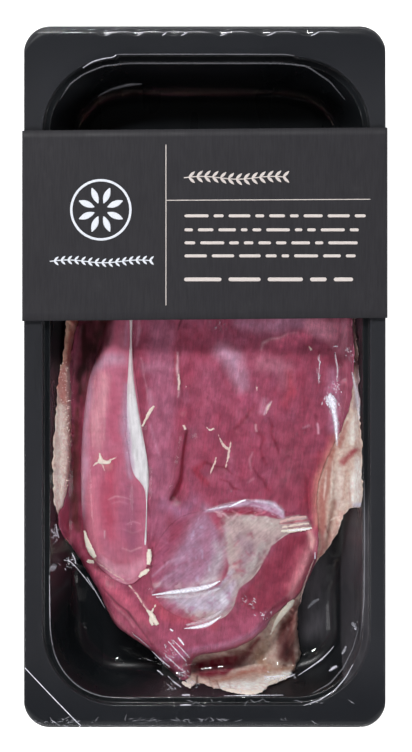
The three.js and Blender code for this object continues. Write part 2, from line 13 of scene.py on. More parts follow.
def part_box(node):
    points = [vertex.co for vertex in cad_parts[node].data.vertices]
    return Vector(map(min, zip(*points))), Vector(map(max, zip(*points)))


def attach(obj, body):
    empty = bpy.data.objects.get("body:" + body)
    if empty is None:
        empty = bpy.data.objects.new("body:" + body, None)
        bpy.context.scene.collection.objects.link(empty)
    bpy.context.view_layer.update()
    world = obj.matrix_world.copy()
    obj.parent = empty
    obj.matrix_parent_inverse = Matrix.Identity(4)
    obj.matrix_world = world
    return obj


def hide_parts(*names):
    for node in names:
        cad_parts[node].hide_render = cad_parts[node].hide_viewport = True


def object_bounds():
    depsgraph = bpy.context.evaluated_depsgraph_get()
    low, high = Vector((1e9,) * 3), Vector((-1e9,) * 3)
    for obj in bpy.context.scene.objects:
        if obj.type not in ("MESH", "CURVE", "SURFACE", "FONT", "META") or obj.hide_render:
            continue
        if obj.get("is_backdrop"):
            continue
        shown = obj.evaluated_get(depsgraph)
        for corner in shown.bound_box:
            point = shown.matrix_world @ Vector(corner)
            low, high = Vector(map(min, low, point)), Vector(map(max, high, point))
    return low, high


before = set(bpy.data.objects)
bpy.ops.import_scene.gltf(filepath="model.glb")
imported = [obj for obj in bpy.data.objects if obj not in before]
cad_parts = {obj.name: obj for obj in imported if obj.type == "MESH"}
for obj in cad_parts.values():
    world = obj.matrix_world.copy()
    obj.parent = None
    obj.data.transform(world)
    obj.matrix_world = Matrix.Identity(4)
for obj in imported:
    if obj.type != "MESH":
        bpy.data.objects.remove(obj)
cad_box = [list(corner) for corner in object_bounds()]

MM = 0.001
# The same sizes as in the CAD part, in millimetres
GAP = 0.3
RIM = 28.0
FLOOR = 1.4
WALL = 0.7
CAVITY_HALF = (58.9, 116.9)
CAVITY_CORNER = 27.0
CAVITY_MIDDLE = (0.6, -1.0)
FLANGE_HALF = tuple(np.array(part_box("tray")[1][:2]) / MM)
FLANGE_CORNER = 9.3
LINING = [(-3.0, 28.0), (0.0, 28.0), (0.6, 26.1), (2.7, 25.8), (9.7, 3.6), (12.5, 1.4), (16.0, 1.4)]
LINING_ROUNDS = (0.35, 0.45, 0.5, 1.6, 1.8)
FILM_ROUNDS = (0.3, 0.3, 0.35, 2.8, 2.8)
FILM_THICKNESS = 0.28
FILM_INSET = 0.4
LIP_WIDTH = 2.3
LIP_DROP = 1.5
# The lip's section: distance back from its edge, and how far it has turned down there
LIP_PROFILE = ((3.9, 0), (3.2, 0), (2.45, 0.06), (1.9, 0.3), (1.15, 0.85), (0, LIP_DROP))
SLEEVE_SLOPE = 0.0087
sleeve_low, sleeve_high = (np.array(corner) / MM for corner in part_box("card_sleeve"))
SLEEVE_WIDTH = sleeve_high[0] - sleeve_low[0]
SLEEVE_LENGTH = sleeve_high[1] - sleeve_low[1] - SLEEVE_SLOPE * SLEEVE_WIDTH
# The print lies on the card, inside the CAD part's box
SLEEVE_TOP = sleeve_high[2] - 0.04
CARD = 0.4
SLEEVE_HALF_BASE = 51.8
SLEEVE_ROUND = 1.1
SKIN_THICKNESS = 3.4
SKIN_ON_WALL = 1.4
SKIN_ROUND = 2.5
FLAP_LEVEL = 15.6
STRIP_LEVEL = 14.5
MUSCLE_LEVEL = 17.0
FLANK_LEVEL = 9.5
FILLET_LEVEL = 19.2
FILLET_SEAT = 7.0
TENDON_HEIGHT = 0.85
SLEEVE_EDGE_Y = (sleeve_low[1] + sleeve_high[1] - SLEEVE_LENGTH) / 2
SCALLOPS_X = (-36.5, -25, -11.8, 5.8, 20.6, 36.4)

# How the view from above is scaled: picture points to millimetres, and the point over the origin
VIEW_ORIGIN = (204.75, 376.75)
RIM_SCALE = 0.359
MEAT_SCALE = 0.3626
CAMERA_HEIGHT = 1100.0
PICTURE = (412, 752)


def clamp01(t):
    return np.clip(t, 0, 1)


def mix(a, b, t):
    return a + (b - a) * t


def ease(a, b, value):
    """0 at a and 1 at b, with level ends; a may be the larger."""
    t = clamp01((value - a) / (b - a))
    return t * t * (3 - 2 * t)


def rounded_edge(distance, radius):
    t = 1 - clamp01(distance / radius)
    return np.sqrt(1 - t * t)


def seen(points, scale=MEAT_SCALE):
    """Picture points to millimetres; a third number is a radius."""
    points = np.array(points, float)
    placed = (points[:, :2] - VIEW_ORIGIN) * (scale, -scale)
    return np.hstack([placed, points[:, 2:] * scale])


def smooth_outline(points):
    """A closed centripetal curve through some points, as the CAD part draws its outlines."""
    points = np.array(points, float)
    count = len(points)
    steps = max(150, 5 * count)
    places = []
    for step in range(steps):
        at = step / steps * count
        i, t = int(at), at - int(at)
        p0, p1, p2, p3 = (points[(i + k) % count] for k in (-1, 0, 1, 2))
        d0, d1, d2 = (np.hypot(*(b - a)) ** 0.5 for a, b in ((p0, p1), (p1, p2), (p2, p3)))
        start = ((p1 - p0) / d0 - (p2 - p0) / (d0 + d1) + (p2 - p1) / d1) * d1
        end = ((p2 - p1) / d1 - (p3 - p1) / (d1 + d2) + (p3 - p2) / d2) * d1
        c2 = -3 * p1 + 3 * p2 - 2 * start - end
        c3 = 2 * p1 - 2 * p2 + start + end
        places.append(p1 + start * t + c2 * t * t + c3 * t ** 3)
    return np.array(places)


def inside_by(outline, x, y):
    """Distance to an outline, positive inside it."""
    nearest = np.full(x.shape, np.inf)
    inside = np.zeros(x.shape, bool)
    for (ax, ay), (bx, by) in zip(outline, np.roll(outline, -1, axis=0)):
        dx, dy = bx - ax, by - ay
        t = clamp01(((x - ax) * dx + (y - ay) * dy) / (dx * dx + dy * dy + 1e-12))
        nearest = np.minimum(nearest, np.hypot(x - ax - dx * t, y - ay - dy * t))
        if ay != by:
            inside ^= ((ay > y) != (by > y)) & (x < dx * (y - ay) / dy + ax)
    return np.where(inside, nearest, -nearest)


def outside_stroke(stroke, x, y):
    """Distance to a stroke whose points each have a radius, negative inside it."""
    nearest = np.full(x.shape, np.inf)
    for (ax, ay, ar), (bx, by, br) in zip(stroke[:-1], stroke[1:]):
        dx, dy = bx - ax, by - ay
        t = clamp01(((x - ax) * dx + (y - ay) * dy) / (dx * dx + dy * dy + 1e-12))
        nearest = np.minimum(nearest, np.hypot(x - ax - dx * t, y - ay - dy * t) - mix(ar, br, t))
    return nearest


def lumps(x, y, size, seed):
    """Smooth noise from -1 to 1 with lumps of about a size, in millimetres; a pair of sizes stretches it."""
    size_x, size_y = size if isinstance(size, tuple) else (size, size)
    table = np.random.default_rng(seed).uniform(-1, 1, (128, 128))
    u, v = x / size_x + 40, y / size_y + 40
    i, j = np.floor(u).astype(int), np.floor(v).astype(int)
    f, g = u - i, v - j
    f, g = f * f * (3 - 2 * f), g * g * (3 - 2 * g)
    corner = lambda di, dj: table[(i + di) % 128, (j + dj) % 128]
    return mix(mix(corner(0, 0), corner(1, 0), f), mix(corner(0, 1), corner(1, 1), f), g)


# Outlines of the layers. The left edges of skin and muscle and the tendon are as the picture shows them
LEFT_EDGE = [
    (77, 322), (72.5, 340), (69.5, 370), (70, 400), (70.5, 430), (70, 460), (67, 490), (63, 505), (58.5, 515),
    (61, 532), (70, 547), (81, 565), (90, 580), (98, 594), (106, 612), (115, 628), (128, 638), (140, 646),
    (152, 655), (163, 667), (174, 677), (184, 681), (190.5, 676), (192, 666), (196, 659.5),
]
LOWER_EDGE = [(206, 656.5), (218, 655), (232, 651.5), (247, 645.5), (259, 637), (267, 629), (273, 619)]
# The lower end of the skin lies on the wall, a little nearer to the camera
RIM_EDGE = [
    (170, 673), (180, 678.5), (185.5, 684), (190, 687.8), (195.5, 686), (200, 684.6), (207, 687),
    (214, 688.4), (222, 689.3), (233, 691.2), (246, 693.4), (257, 693), (264, 690.6), (270, 686.4),
    (280, 683.4), (288, 680.6), (294, 676.5), (299, 667.5), (301.8, 658), (300.4, 650), (298.9, 633),
    (299.6, 616), (303, 600), (310, 582), (319, 562), (325.5, 556), (331, 547), (338, 535), (343, 521),
    (349.5, 509.5), (359, 507), (362, 499),
]
WALL_SCALE = 0.3608
SKIN_OUTLINE = [
    (-1.7, 78.2), (-23.5, 75.7), (-38, 65.9), (-45.2, 49.6), (-48.6, 32), (-50.2, 20), (-50.9, 11),
    (-52.5, 1.5), (-53.5, -6), (-53.8, -15), (-54.5, -26), (-54.8, -36), (-54.3, -45), (-52.6, -51.5),
    (-47, -63.6), (-38.6, -76.5), (-32.5, -90.3), (-20.2, -99.3), *seen(RIM_EDGE, WALL_SCALE), (56.6, -38),
    (56.4, -24), (55.8, -12), (55.2, 9.7), (52.3, 35.1), (45.4, 50.3), (32.4, 64.1), (15.3, 74.2),
]
MUSCLE_OUTLINE = [
    (-1.7, 75.7), (-19.9, 72.8), (-33.6, 62.3), (-40.9, 46), *seen(LEFT_EDGE), *seen(LOWER_EDGE), (33.3, -81),
    (37.8, -74.5), (40.8, -66), (41.2, -55.6), (40.8, -43), (43.4, -32), (48.6, -21.3), (52.6, -10),
    (54, 9.7), (50.9, 35.1), (43.6, 49.6), (30.9, 62.3), (14.6, 72.1),
]
FILLET_OUTLINE = [
    (-19.9, 65.9), (-27.8, 58.7), (-32.5, 45), (-35, 25), (-38.4, 11), (-42.2, -1.2), (-44.6, -20),
    (-45.2, -40), (-43.9, -56), (-41.4, -65.5), (-35.5, -71.8), (-27.5, -75.4), (-22.6, -71.8),
    (-20.4, -65.7), (-21.4, -56), (-21, -43), (-21, -30.5), (-23.8, -10), (-26.2, 9), (-26, 30), (-23, 49.6),
    (-19, 60),
]
TENDON_OUTLINE = seen([
    (130.2, 300), (130, 340), (128.6, 362), (127.4, 385), (126.6, 410), (127, 435), (129, 455), (132.5, 470),
    (135, 476), (140, 482), (144.4, 489), (146, 500), (145.8, 520), (144.8, 545), (145.6, 545), (147, 520),
    (147.2, 500), (148.4, 490), (149, 476), (147.4, 460), (144.4, 443), (141, 425), (137.6, 405),
    (134.6, 385), (132.6, 362), (131.8, 340), (131.8, 300),
])
# The tendon's middle line, as y and x
TENDON_LINE = [
    (-61.5, -21.5), (-43, -21.4), (-38, -22.6), (-28, -24.4), (-8.4, -26.1), (15, -26.9), (33, -26.8),
]
SILVERSKIN_OUTLINE = [
    (-9, -51), (1.9, -48), (9.5, -45.8), (17.1, -45.6), (24.4, -46.6), (30.5, -49.4), (37.4, -50.6),
    (38.7, -54.4), (31, -56.8), (25, -61), (21.8, -66.8), (17.6, -72.8), (12.6, -77.4), (9.9, -84.4),
    (5.5, -88), (-4, -88.6), (-12.4, -85.6), (-18, -79.6), (-19.6, -70.5), (-17.4, -60.5),
]
# Folds and cuts in the meat, each a path on its surface with a depth and a half width
CREASES = [
    ([(-9.4, 30), (-9.2, 9), (-8.6, -12)], 0.6, 2),
    ([(-6.4, -21), (-7.8, -30.5), (-10.9, -43.5)], 1.8, 2.2),
    ([(11, 6), (9, -24), (3, -34)], 0.8, 3),
    ([(30, -30), (24, -40), (26, -46)], 1.2, 3.5),
    ([(-45, -70), (-35, -84), (-22, -94)], 1.2, 2.2),
    ([(-18, -77), (-6, -77.6), (6, -74.5)], -1.1, 2.2),
    ([(22, -64), (18, -75), (12, -87)], 1.1, 2.5),
]
SKIN_RIDGES = [
    ([(46, -26), (44.8, -40), (43.6, -58)], -1.6, 1.6),
    ([(52, -20), (53, -34), (51, -47)], -1.4, 1.8),
    ([(36, -84), (31, -94), (27, -104)], -3.4, 3.4),
    ([(-6, -112), (10, -113), (26, -111)], -0.8, 2),
]

# Distances to the outlines, worked out once on a grid over the pack
GRID_STEP = 0.5
COARSE_SPACING = 2.4
SIDE_STEPS, END_STEPS, CORNER_STEPS = 150, 90, 24
GRID_LOW = np.array([-66.0, -127.0])
GRID_X, GRID_Y = np.meshgrid(
    np.arange(GRID_LOW[0], 66.01, GRID_STEP), np.arange(GRID_LOW[1], 127.01, GRID_STEP)
)


def on_grid(values, x, y):
    """A value between the points of the grid."""
    u = np.clip((x - GRID_LOW[0]) / GRID_STEP, 0, values.shape[1] - 1.001)
    v = np.clip((y - GRID_LOW[1]) / GRID_STEP, 0, values.shape[0] - 1.001)
    i, j = u.astype(int), v.astype(int)
    f, g = u - i, v - j
    low = mix(values[j, i], values[j, i + 1], f)
    return mix(low, mix(values[j + 1, i], values[j + 1, i + 1], f), g)


OUTLINES = {
    "skin": smooth_outline(SKIN_OUTLINE),
    "muscle": smooth_outline(MUSCLE_OUTLINE),
    "fillet": smooth_outline(FILLET_OUTLINE),
    "tendon": smooth_outline(TENDON_OUTLINE),
    "silverskin": smooth_outline(SILVERSKIN_OUTLINE),
}
EDGE_DISTANCES = {name: inside_by(outline, GRID_X, GRID_Y) for name, outline in OUTLINES.items()}


def within(name, x, y):
    return on_grid(EDGE_DISTANCES[name], x, y)


def creased(creases, x, y):
    """How far the creases lower a surface; a negative depth raises it."""
    lowered = np.zeros(x.shape)
    for path, depth, width in creases:
        stroke = [(px, py, 0) for px, py in path]
        reach = outside_stroke(stroke, x, y) / width
        lowered += depth * np.exp(-reach * reach)
    return lowered


def notch(x, y):
    """How much shorter the cavity is beside the middle of its upper end."""
    beside = 1 - ease(-31.6, -30.6, x) * ease(34, 30.5, x)
    return 1.1 * beside * ease(80, 108, y)


def inset_of(x, y):
    """Distance inwards from the cavity's upper edge."""
    y = y + notch(x, y)
    qx = np.abs(x - CAVITY_MIDDLE[0]) - CAVITY_HALF[0] + CAVITY_CORNER
    qy = np.abs(y - CAVITY_MIDDLE[1]) - CAVITY_HALF[1] + CAVITY_CORNER
    outside = np.hypot(np.maximum(qx, 0), np.maximum(qy, 0)) + np.minimum(np.maximum(qx, qy), 0)
    return CAVITY_CORNER - outside


def tray_profile(insets):
    return np.interp(insets, *zip(*LINING))


def tray_top(x, y):
    return tray_profile(inset_of(x, y))


# Marks on the flesh: name, colour, cover, softness in picture points, rise in millimetres, then each stroke
# as picture points with a radius. Later marks lie over earlier ones
PINK_WHITE = (226, 180, 192)
MEMBRANE = (176, 132, 160)
DEEP_RED = (112, 18, 42)
DARK_RED = (128, 42, 62)
# How the fibres run, in degrees from +Y
MUSCLE_GRAIN = -8
FILLET_GRAIN = 4
SHEET_GRAIN = -56

FILLET_MARKS = [
    ("rosy body", (196, 112, 138), 0.9, 9, 0, [(112, 370, 12), (106, 430, 14), (104, 470, 12)]),
    # The lavender left side and lavender top are painted sheen: light reflected along the fillet's left side
    # and along its top, below the sleeve's shadow.
    ("lavender left side", (222, 170, 198), 0.9, 4.5, 0,
     [(89, 376, 4), (84, 420, 4.5), (82, 470, 4), (82, 515, 2.4)]),
    ("lavender top", (200, 154, 178), 0.8, 6, 0, [(94, 370, 5), (106, 361, 5), (122, 360, 4)]),
    ("pale middle", (218, 152, 166), 0.85, 6, 0, [(104, 378, 5), (101, 400, 7), (98, 430, 6), (97, 448, 3)]),
    ("pale lines", (228, 170, 180), 0.6, 1.4, 0,
     [(95, 376, 0.5), (92.5, 410, 0.8), (93, 446, 0.5)], [(104, 385, 0.4), (104, 412, 0.6), (105, 440, 0.4)]),
    ("pink right of it", (190, 96, 124), 0.8, 4, 0, [(113, 385, 2), (115, 410, 4), (114, 440, 4)]),
    ("lavender by the tendon", (190, 148, 174), 0.9, 4, 0,
     [(126, 385, 2), (125, 420, 3), (126, 452, 3), (132, 476, 2)]),
    ("red lower part", (188, 84, 110), 0.85, 7, 0,
     [(112, 462, 5), (108, 490, 8), (110, 520, 7), (110, 535, 5)]),
    ("rosy lower left", (208, 124, 146), 0.8, 5, 0, [(92, 480, 4), (94, 505, 5), (96, 530, 5)]),
    ("purple lower part", (168, 94, 124), 0.85, 7, 0,
     [(128, 480, 3), (130, 505, 8), (130, 530, 9), (136, 548, 5)]),
    ("rosy left", (204, 116, 138), 0.8, 5, 0, [(92, 500, 5), (93, 530, 5), (99, 552, 4)]),
    ("pale end", (218, 150, 172), 0.9, 6, 0, [(104, 562, 4), (116, 573, 6), (130, 573, 6), (142, 562, 4)]),
    ("end fibres", (226, 172, 182), 0.7, 1.4, 0,
     [(99, 560, 0.5), (108, 568, 1), (120, 577, 0.8), (126, 583, 0.4)]),
    ("end fibres", (186, 96, 120), 0.6, 2, 0, [(104, 554, 1), (116, 562, 1.6), (130, 562, 1)]),
    ("upper left shade", (86, 32, 44), 0.97, 7, 0,
     [(101, 312, 16), (100, 338, 12), (92, 360, 5), (87, 372, 2)]),
    ("shaded upper part", (176, 84, 112), 0.8, 6, 0, [(122, 315, 7), (120, 345, 4)]),
    ("shaded lavender line", (196, 140, 170), 0.5, 2, 0, [(127, 322, 1), (125, 345, 1.4)]),
    ("fat star halo", (214, 140, 148), 0.5, 3, 0, [(98, 458, 4), (108, 466, 4)]),
    ("arcs", (212, 152, 168), 0.7, 1, 0.05,
     [(109, 499, 0.4), (116, 496, 0.7), (124, 497, 0.6), (130, 499, 0.4)]),
    ("arcs", (206, 140, 160), 0.5, 1, 0.05, [(112, 503, 0.4), (120, 501, 0.5), (128, 503, 0.4)]),
    ("arcs", (212, 152, 168), 0.6, 1, 0.05, [(127, 524, 0.4), (134, 521, 0.6), (141, 524, 0.5)]),
    ("arcs", (206, 140, 160), 0.5, 1, 0.05, [(124, 529, 0.4), (134, 533, 0.6), (142, 530, 0.5)]),
    ("arcs", (218, 160, 172), 0.7, 1, 0.05, [(122, 548, 0.4), (131, 551, 0.6), (141, 547, 0.9)]),
    ("specks", (232, 196, 206), 0.8, 0.8, 0.05, [(105, 531, 0.6), (105, 538, 0.4)]),
    ("edge fat", (226, 200, 176), 0.9, 1, 0.3,
     [(84, 533, 0.6), (86, 543, 1.6), (90.5, 552, 2), (95, 560, 1.2)]),
]
MUSCLE_MARKS = [
    ("strip by the tendon", (170, 97, 125), 0.9, 6, 0,
     [(160, 325, 12), (163, 400, 13), (160, 470, 12), (158, 530, 9)]),
    # The lavender top of it is painted sheen along the strip's top, below the sleeve's shadow.
    ("lavender top of it", (178, 112, 138), 0.7, 5, 0, [(145, 368, 5), (160, 366, 5), (172, 368, 3)]),
    ("flank", (192, 92, 118), 0.9, 5, 0, [(92, 568, 5), (108, 588, 8), (125, 604, 8), (142, 622, 6)]),
    ("lower flank", (176, 84, 110), 0.9, 5, 0, [(108, 606, 4), (130, 628, 6), (152, 648, 7), (168, 664, 5)]),
    ("flank edge", (214, 130, 146), 0.7, 2, 0.2,
     [(99, 598, 1), (112, 617, 1.6), (124, 631, 1.4), (145, 647, 1)]),
    ("fringe at the tip", (196, 120, 146), 0.8, 3, 0.2, [(176, 668, 2), (184, 673, 3), (187, 678, 2)]),
    ("outer flank", (150, 60, 84), 0.9, 5, 0, [(60, 512, 3), (68, 534, 5), (78, 556, 4), (88, 572, 3)]),
    # The valley marks and the valley side are painted shade, darkest at the top in the sleeve's shadow, in
    # the deep gap between the skin strip and the fillet.
    ("valley", (58, 24, 28), 0.97, 5, 0, [(94, 318, 16), (88, 348, 11), (80, 378, 5), (77, 400, 3.5)]),
    ("valley", (104, 48, 52), 0.95, 3, 0,
     [(77, 410, 3), (75.5, 440, 4), (74, 480, 5), (74, 505, 5), (77, 530, 4)]),
    ("valley", (74, 28, 34), 0.9, 3, 0, [(88, 370, 2), (84, 390, 2.4), (82, 404, 1.6)]),
    ("valley side", (122, 34, 60), 0.8, 2, 0, [(81, 400, 1.6), (79.5, 450, 2), (80, 520, 2), (84, 550, 1.5)]),
    ("lower meat", (168, 84, 112), 0.9, 8, 0, [(168, 645, 12), (205, 640, 9), (240, 632, 10), (262, 620, 6)]),
    ("pink lower left", (182, 88, 118), 0.7, 5, 0, [(165, 632, 6), (176, 648, 6)]),
    ("red under the membrane", (190, 84, 106), 0.8, 4, 0,
     [(150, 600, 4), (166, 614, 5), (190, 620, 4), (215, 628, 3)]),
    ("purple sheen", (208, 162, 190), 0.85, 10, 0,
     [(224, 352, 6), (232, 360, 8), (238, 374, 5), (243, 388, 2)]),
    ("sheen under the sleeve", (190, 130, 160), 0.8, 7, 0, [(240, 322, 5), (262, 326, 7), (300, 322, 8)]),
    ("pale upper right", (186, 118, 140), 0.6, 8, 0, [(262, 362, 8), (285, 368, 8), (286, 384, 6)]),
    ("pale left of it", (172, 90, 118), 0.6, 10, 0, [(205, 370, 9), (212, 400, 8), (205, 425, 5)]),
    ("torn edge", PINK_WHITE, 0.5, 2, 0.15,
     [(261, 349, 0.4), (263, 343, 1), (270, 339, 0.8), (279, 338, 1), (286, 334, 0.6)]),
    ("torn edge", (206, 140, 160), 0.6, 1.4, 0.1,
     [(289, 333, 0.4), (297, 332, 1), (301, 338, 0.6), (299, 342, 0.3)]),
    ("under the torn edge", (208, 100, 132), 0.8, 5, -0.2, [(272, 346, 4), (285, 342, 6), (305, 338, 7)]),
    ("shaded right", (222, 144, 170), 0.9, 6, 0, [(312, 326, 8), (338, 332, 12), (342, 350, 5)]),
    ("red patch", (180, 62, 82), 0.6, 7, 0, [(288, 374, 3), (292, 391, 5), (285, 404, 3)]),
    ("red right edge", (160, 54, 76), 0.7, 7, 0, [(320, 455, 4), (311, 480, 6), (308, 505, 7)]),
    ("dark middle", (146, 66, 88), 0.8, 12, 0, [(285, 440, 10), (300, 465, 15), (285, 492, 10)]),
    ("light shade left", (176, 100, 128), 0.5, 8, 0, [(150, 325, 5), (165, 338, 6)]),
    # Painted reflection of the film over the muscle's right side.
    ("painted film reflection on the right", (188, 124, 154), 0.85, 6, 0,
     [(334, 372, 4), (334, 390, 6), (335, 412, 6), (334, 432, 3)]),
    ("pink right border", (176, 100, 122), 0.7, 4, 0,
     [(350, 322, 3), (349, 350, 3), (347, 385, 3), (343, 412, 2)]),
    ("dark crease", DARK_RED, 0.8, 2.4, -0.2, [(236, 428, 1.5), (246, 418, 2), (254, 404, 1)]),
    ("dark crease", (128, 30, 54), 0.7, 2, -0.2,
     [(256, 424, 0.6), (258, 432, 1.4), (263, 439, 1.8), (261, 448, 1), (262, 457, 1.6), (266, 465, 0.8)],
     [(269, 418, 0.6), (272, 426, 1.4), (271, 434, 1), (276, 443, 1.6), (279, 453, 0.6)]),
    ("dark crease", (128, 30, 54), 0.7, 1.6, -0.15,
     [(221, 480, 0.6), (229, 482, 1), (233, 488, 1.4), (240, 490, 0.8)],
     [(254, 468, 0.6), (258, 476, 1.2), (263, 479, 0.8), (266, 487, 1.2), (270, 492, 0.5)],
     [(232, 474, 0.6), (226, 468, 1.4), (216, 466, 1), (207, 462, 1.4)]),
    ("red fringe", (150, 44, 66), 0.7, 3, 0, [(205, 462, 2), (196, 470, 4), (206, 484, 3)]),
    ("pale streak", (222, 184, 202), 0.9, 1, 0.1, [(272, 402, 0.5), (268, 407, 1.6), (264, 415, 0.7)]),
    ("pale streak", (196, 130, 156), 0.6, 3, 0, [(265, 400, 2), (262, 412, 3)]),
    ("fleck", (200, 132, 152), 0.7, 1.2, 0.1, [(252, 452, 0.7), (250, 460, 0.9), (251, 470, 0.5)]),
    ("pink middle", (196, 98, 134), 0.5, 7, 0, [(240, 396, 4), (248, 404, 4)]),
    ("fleck", (200, 132, 152), 0.6, 1.2, 0.05, [(247, 482, 0.6), (253, 478, 0.9)]),
    ("fleck", PINK_WHITE, 0.6, 1, 0.05, [(256, 425, 0.8), (257, 431, 0.7)]),
    ("fleck", (206, 148, 170), 0.6, 1.4, 0.05, [(303, 428, 0.8), (309, 426, 0.9)]),
    ("fleck", (216, 166, 188), 0.8, 1, 0.05, [(317.5, 424, 0.7), (318.5, 433, 1)]),
    ("seam edge", PINK_WHITE, 0.8, 1, 0.25,
     [(177.5, 352, 0.5), (177.5, 370, 1.3), (178.5, 386, 0.8), (178.5, 397, 0.4)]),
    ("seam red", (176, 74, 92), 0.7, 1.6, 0, [(175, 352, 0.8), (175, 384, 0.8)]),
    ("seam dark", (70, 22, 38), 0.9, 1, -0.25, [(181.5, 318, 0.9), (180, 324, 1), (178.5, 330, 0.5)]),
    ("seam dark", DARK_RED, 0.6, 1.6, -0.15, [(180, 330, 0.6), (180.5, 360, 0.8), (182, 396, 0.4)]),
    ("crevice", DEEP_RED, 0.97, 1, -0.5,
     [(187, 431, 0.9), (185, 446, 1.6), (183, 460, 1.5), (181, 477, 1.8), (177, 489, 2.4), (171, 499, 2)]),
    ("pale streak", (186, 124, 148), 0.8, 1.5, 0, [(138.5, 318, 0.8), (139, 330, 1.6), (137, 345, 0.6)]),
    ("pale thread", (200, 140, 160), 0.6, 1, 0, [(141, 358, 0.4), (145, 380, 0.5), (148, 400, 0.5)]),
    ("pale streak", (184, 132, 158), 0.6, 4, 0, [(148, 390, 1), (150, 402, 2.4), (149, 414, 1)]),
    ("pale streak", (186, 130, 156), 0.6, 2, 0, [(150, 425, 0.6), (156, 443, 1.2), (159, 456, 0.6)]),
    ("dark thread", (128, 50, 76), 0.6, 1, -0.1, [(147, 500, 0.8), (151, 520, 1), (149, 545, 0.8)]),
    ("dark thread", (140, 56, 84), 0.6, 1.4, -0.1, [(158, 515, 0.5), (157, 530, 1), (151, 546, 1)]),
    ("red slit", (96, 18, 40), 0.9, 0.9, -0.3,
     [(152.5, 547, 0.5), (153.5, 556, 0.9), (152, 566, 1), (147, 567, 0.8)]),
    ("pink by the membrane", (170, 92, 122), 0.8, 6, 0, [(158, 520, 5), (165, 545, 5), (158, 575, 6)]),
    ("purple membrane", MEMBRANE, 0.9, 9, 0, [(200, 522, 7), (196, 545, 14), (182, 566, 13), (170, 582, 8)]),
    ("purple membrane", MEMBRANE, 0.8, 7, 0, [(205, 508, 3), (214, 540, 7), (212, 565, 10), (190, 582, 8)]),
    ("faded part", (172, 112, 146), 0.8, 8, 0, [(165, 505, 4), (182, 512, 8), (196, 500, 4)]),
    ("membrane fibres", (198, 156, 182), 0.6, 1.6, 0.05,
     [(152, 576, 0.6), (168, 562, 1.2), (184, 556, 0.8)],
     [(152, 592, 0.6), (166, 577, 1.2), (178, 570, 0.8)]),
    ("membrane fibres", (160, 86, 118), 0.6, 1.8, 0,
     [(156, 580, 0.6), (170, 569, 1.2), (186, 562, 0.8)],
     [(160, 556, 0.6), (170, 545, 1.2), (178, 540, 0.8)]),
    ("red by the membrane", (178, 70, 96), 0.6, 4, 0, [(208, 514, 2), (215, 522, 3.4), (222, 531, 2.4)]),
    ("grey by the sheet", (188, 172, 184), 0.9, 6, 0,
     [(216, 542, 2), (221, 550, 4), (220, 563, 6), (213, 576, 5), (204, 584, 3)]),
    ("red slot", (148, 26, 56), 0.97, 1, -0.6, [(229, 514, 1.4), (244, 512, 2.6), (261, 511.5, 1.6)]),
    ("slot threads", (206, 120, 146), 0.8, 0.9, 0.2, [(236, 515, 0.5), (248, 511, 0.7), (260, 510, 0.4)]),
    ("slot pink", (214, 132, 152), 0.85, 1.2, 0.2, [(233, 511, 0.8), (240, 514.6, 1.4), (247, 516, 0.6)]),
    ("slot pink", (206, 116, 140), 0.8, 1.2, 0.1, [(256, 514.6, 1), (264, 512, 1.3)]),
    ("pale arch", (204, 170, 198), 0.95, 1.8, 0.5,
     [(206, 511, 1), (222, 507.4, 1.8), (234, 504.4, 2.2), (246, 503, 2.4)],
     [(246, 503, 2.6), (260, 504, 4), (272, 507, 5), (280, 512, 4), (284, 518, 1.6)]),
    ("arch mottle", (160, 84, 118), 0.7, 1.4, 0, [(246, 506, 0.8), (254, 503.4, 1), (262, 506, 0.6)]),
    ("arch mottle", (168, 96, 128), 0.7, 1.4, 0, [(271, 508.6, 0.8), (276, 512, 1)]),
    # The bright arch is a painted highlight along the top of the arch's rim.
    ("bright arch", (232, 216, 236), 0.85, 1.4, 0.2,
     [(256, 500.6, 0.6), (268, 502.4, 1.4), (277, 506.6, 1.2), (283, 513, 0.8)]),
    ("bright fold by the slot", (222, 176, 190), 0.9, 0.9, 0.2,
     [(214, 511, 0.5), (224, 514, 1), (229, 519, 0.6)]),
    ("blend into the flap", (180, 84, 96), 0.7, 6, 0,
     [(332, 440, 2), (324, 462, 3.4), (318, 482, 3.4), (315.5, 505, 3), (315, 528, 3)]),
    ("blend into the flap", (206, 146, 134), 0.9, 6, 0,
     [(337, 438, 1), (329, 458, 2), (321, 478, 2.4), (317.5, 500, 2.6), (317, 522, 2)]),
    ("lobe inner glow", (190, 92, 114), 0.8, 5, 0, [(301, 550, 3), (296, 568, 4), (288, 584, 4)]),
    ("lobe rim", (222, 146, 158), 0.88, 5, 0.2,
     [(310, 532, 1.6), (311.6, 545, 3), (308, 557, 3.8), (301, 570, 4), (295, 582, 3.6), (290, 595, 2.4)]),
    ("lobe rim top", (226, 168, 168), 0.8, 2.6, 0.2, [(309, 531, 1.4), (312.5, 539, 2.4), (312, 548, 1.6)]),
    ("lobe dark side", (184, 92, 110), 0.8, 2.6, 0,
     [(318, 546, 0.4), (314, 561, 1), (308.6, 572, 2), (303.5, 583, 2.4), (299, 593, 2.4)]),
    # This lower rim is a painted highlight along the muscle's lower edge.
    ("lower rim", (184, 112, 146), 0.8, 3, 0.2,
     [(160, 662, 2), (190, 653, 4), (225, 646, 4), (252, 636, 3), (268, 622, 2)]),
    ("flank shade", (138, 60, 84), 0.6, 4, 0, [(122, 612, 2), (130, 625, 3), (140, 640, 2)]),
    ("flank crease", (106, 44, 62), 0.85, 1, -0.4,
     [(102, 588, 0.4), (113, 600, 0.9), (126, 611, 1), (137, 625, 0.9), (152, 646, 0.4)]),
    ("flank crease edge", (206, 128, 146), 0.6, 1.2, 0.2,
     [(112, 604, 0.5), (124, 615, 0.9), (134, 628, 0.8)]),
    ("fat seam", (214, 140, 156), 0.8, 1, 0.1,
     [(129, 585, 0.8), (138, 596, 1), (143.5, 604, 0.9), (149, 612, 0.6)]),
    ("dark pits", (112, 34, 54), 0.6, 1, -0.1,
     [(268, 591, 0.8), (262, 588, 0.5)], [(296, 560, 0.5), (290, 552, 0.5)]),
]
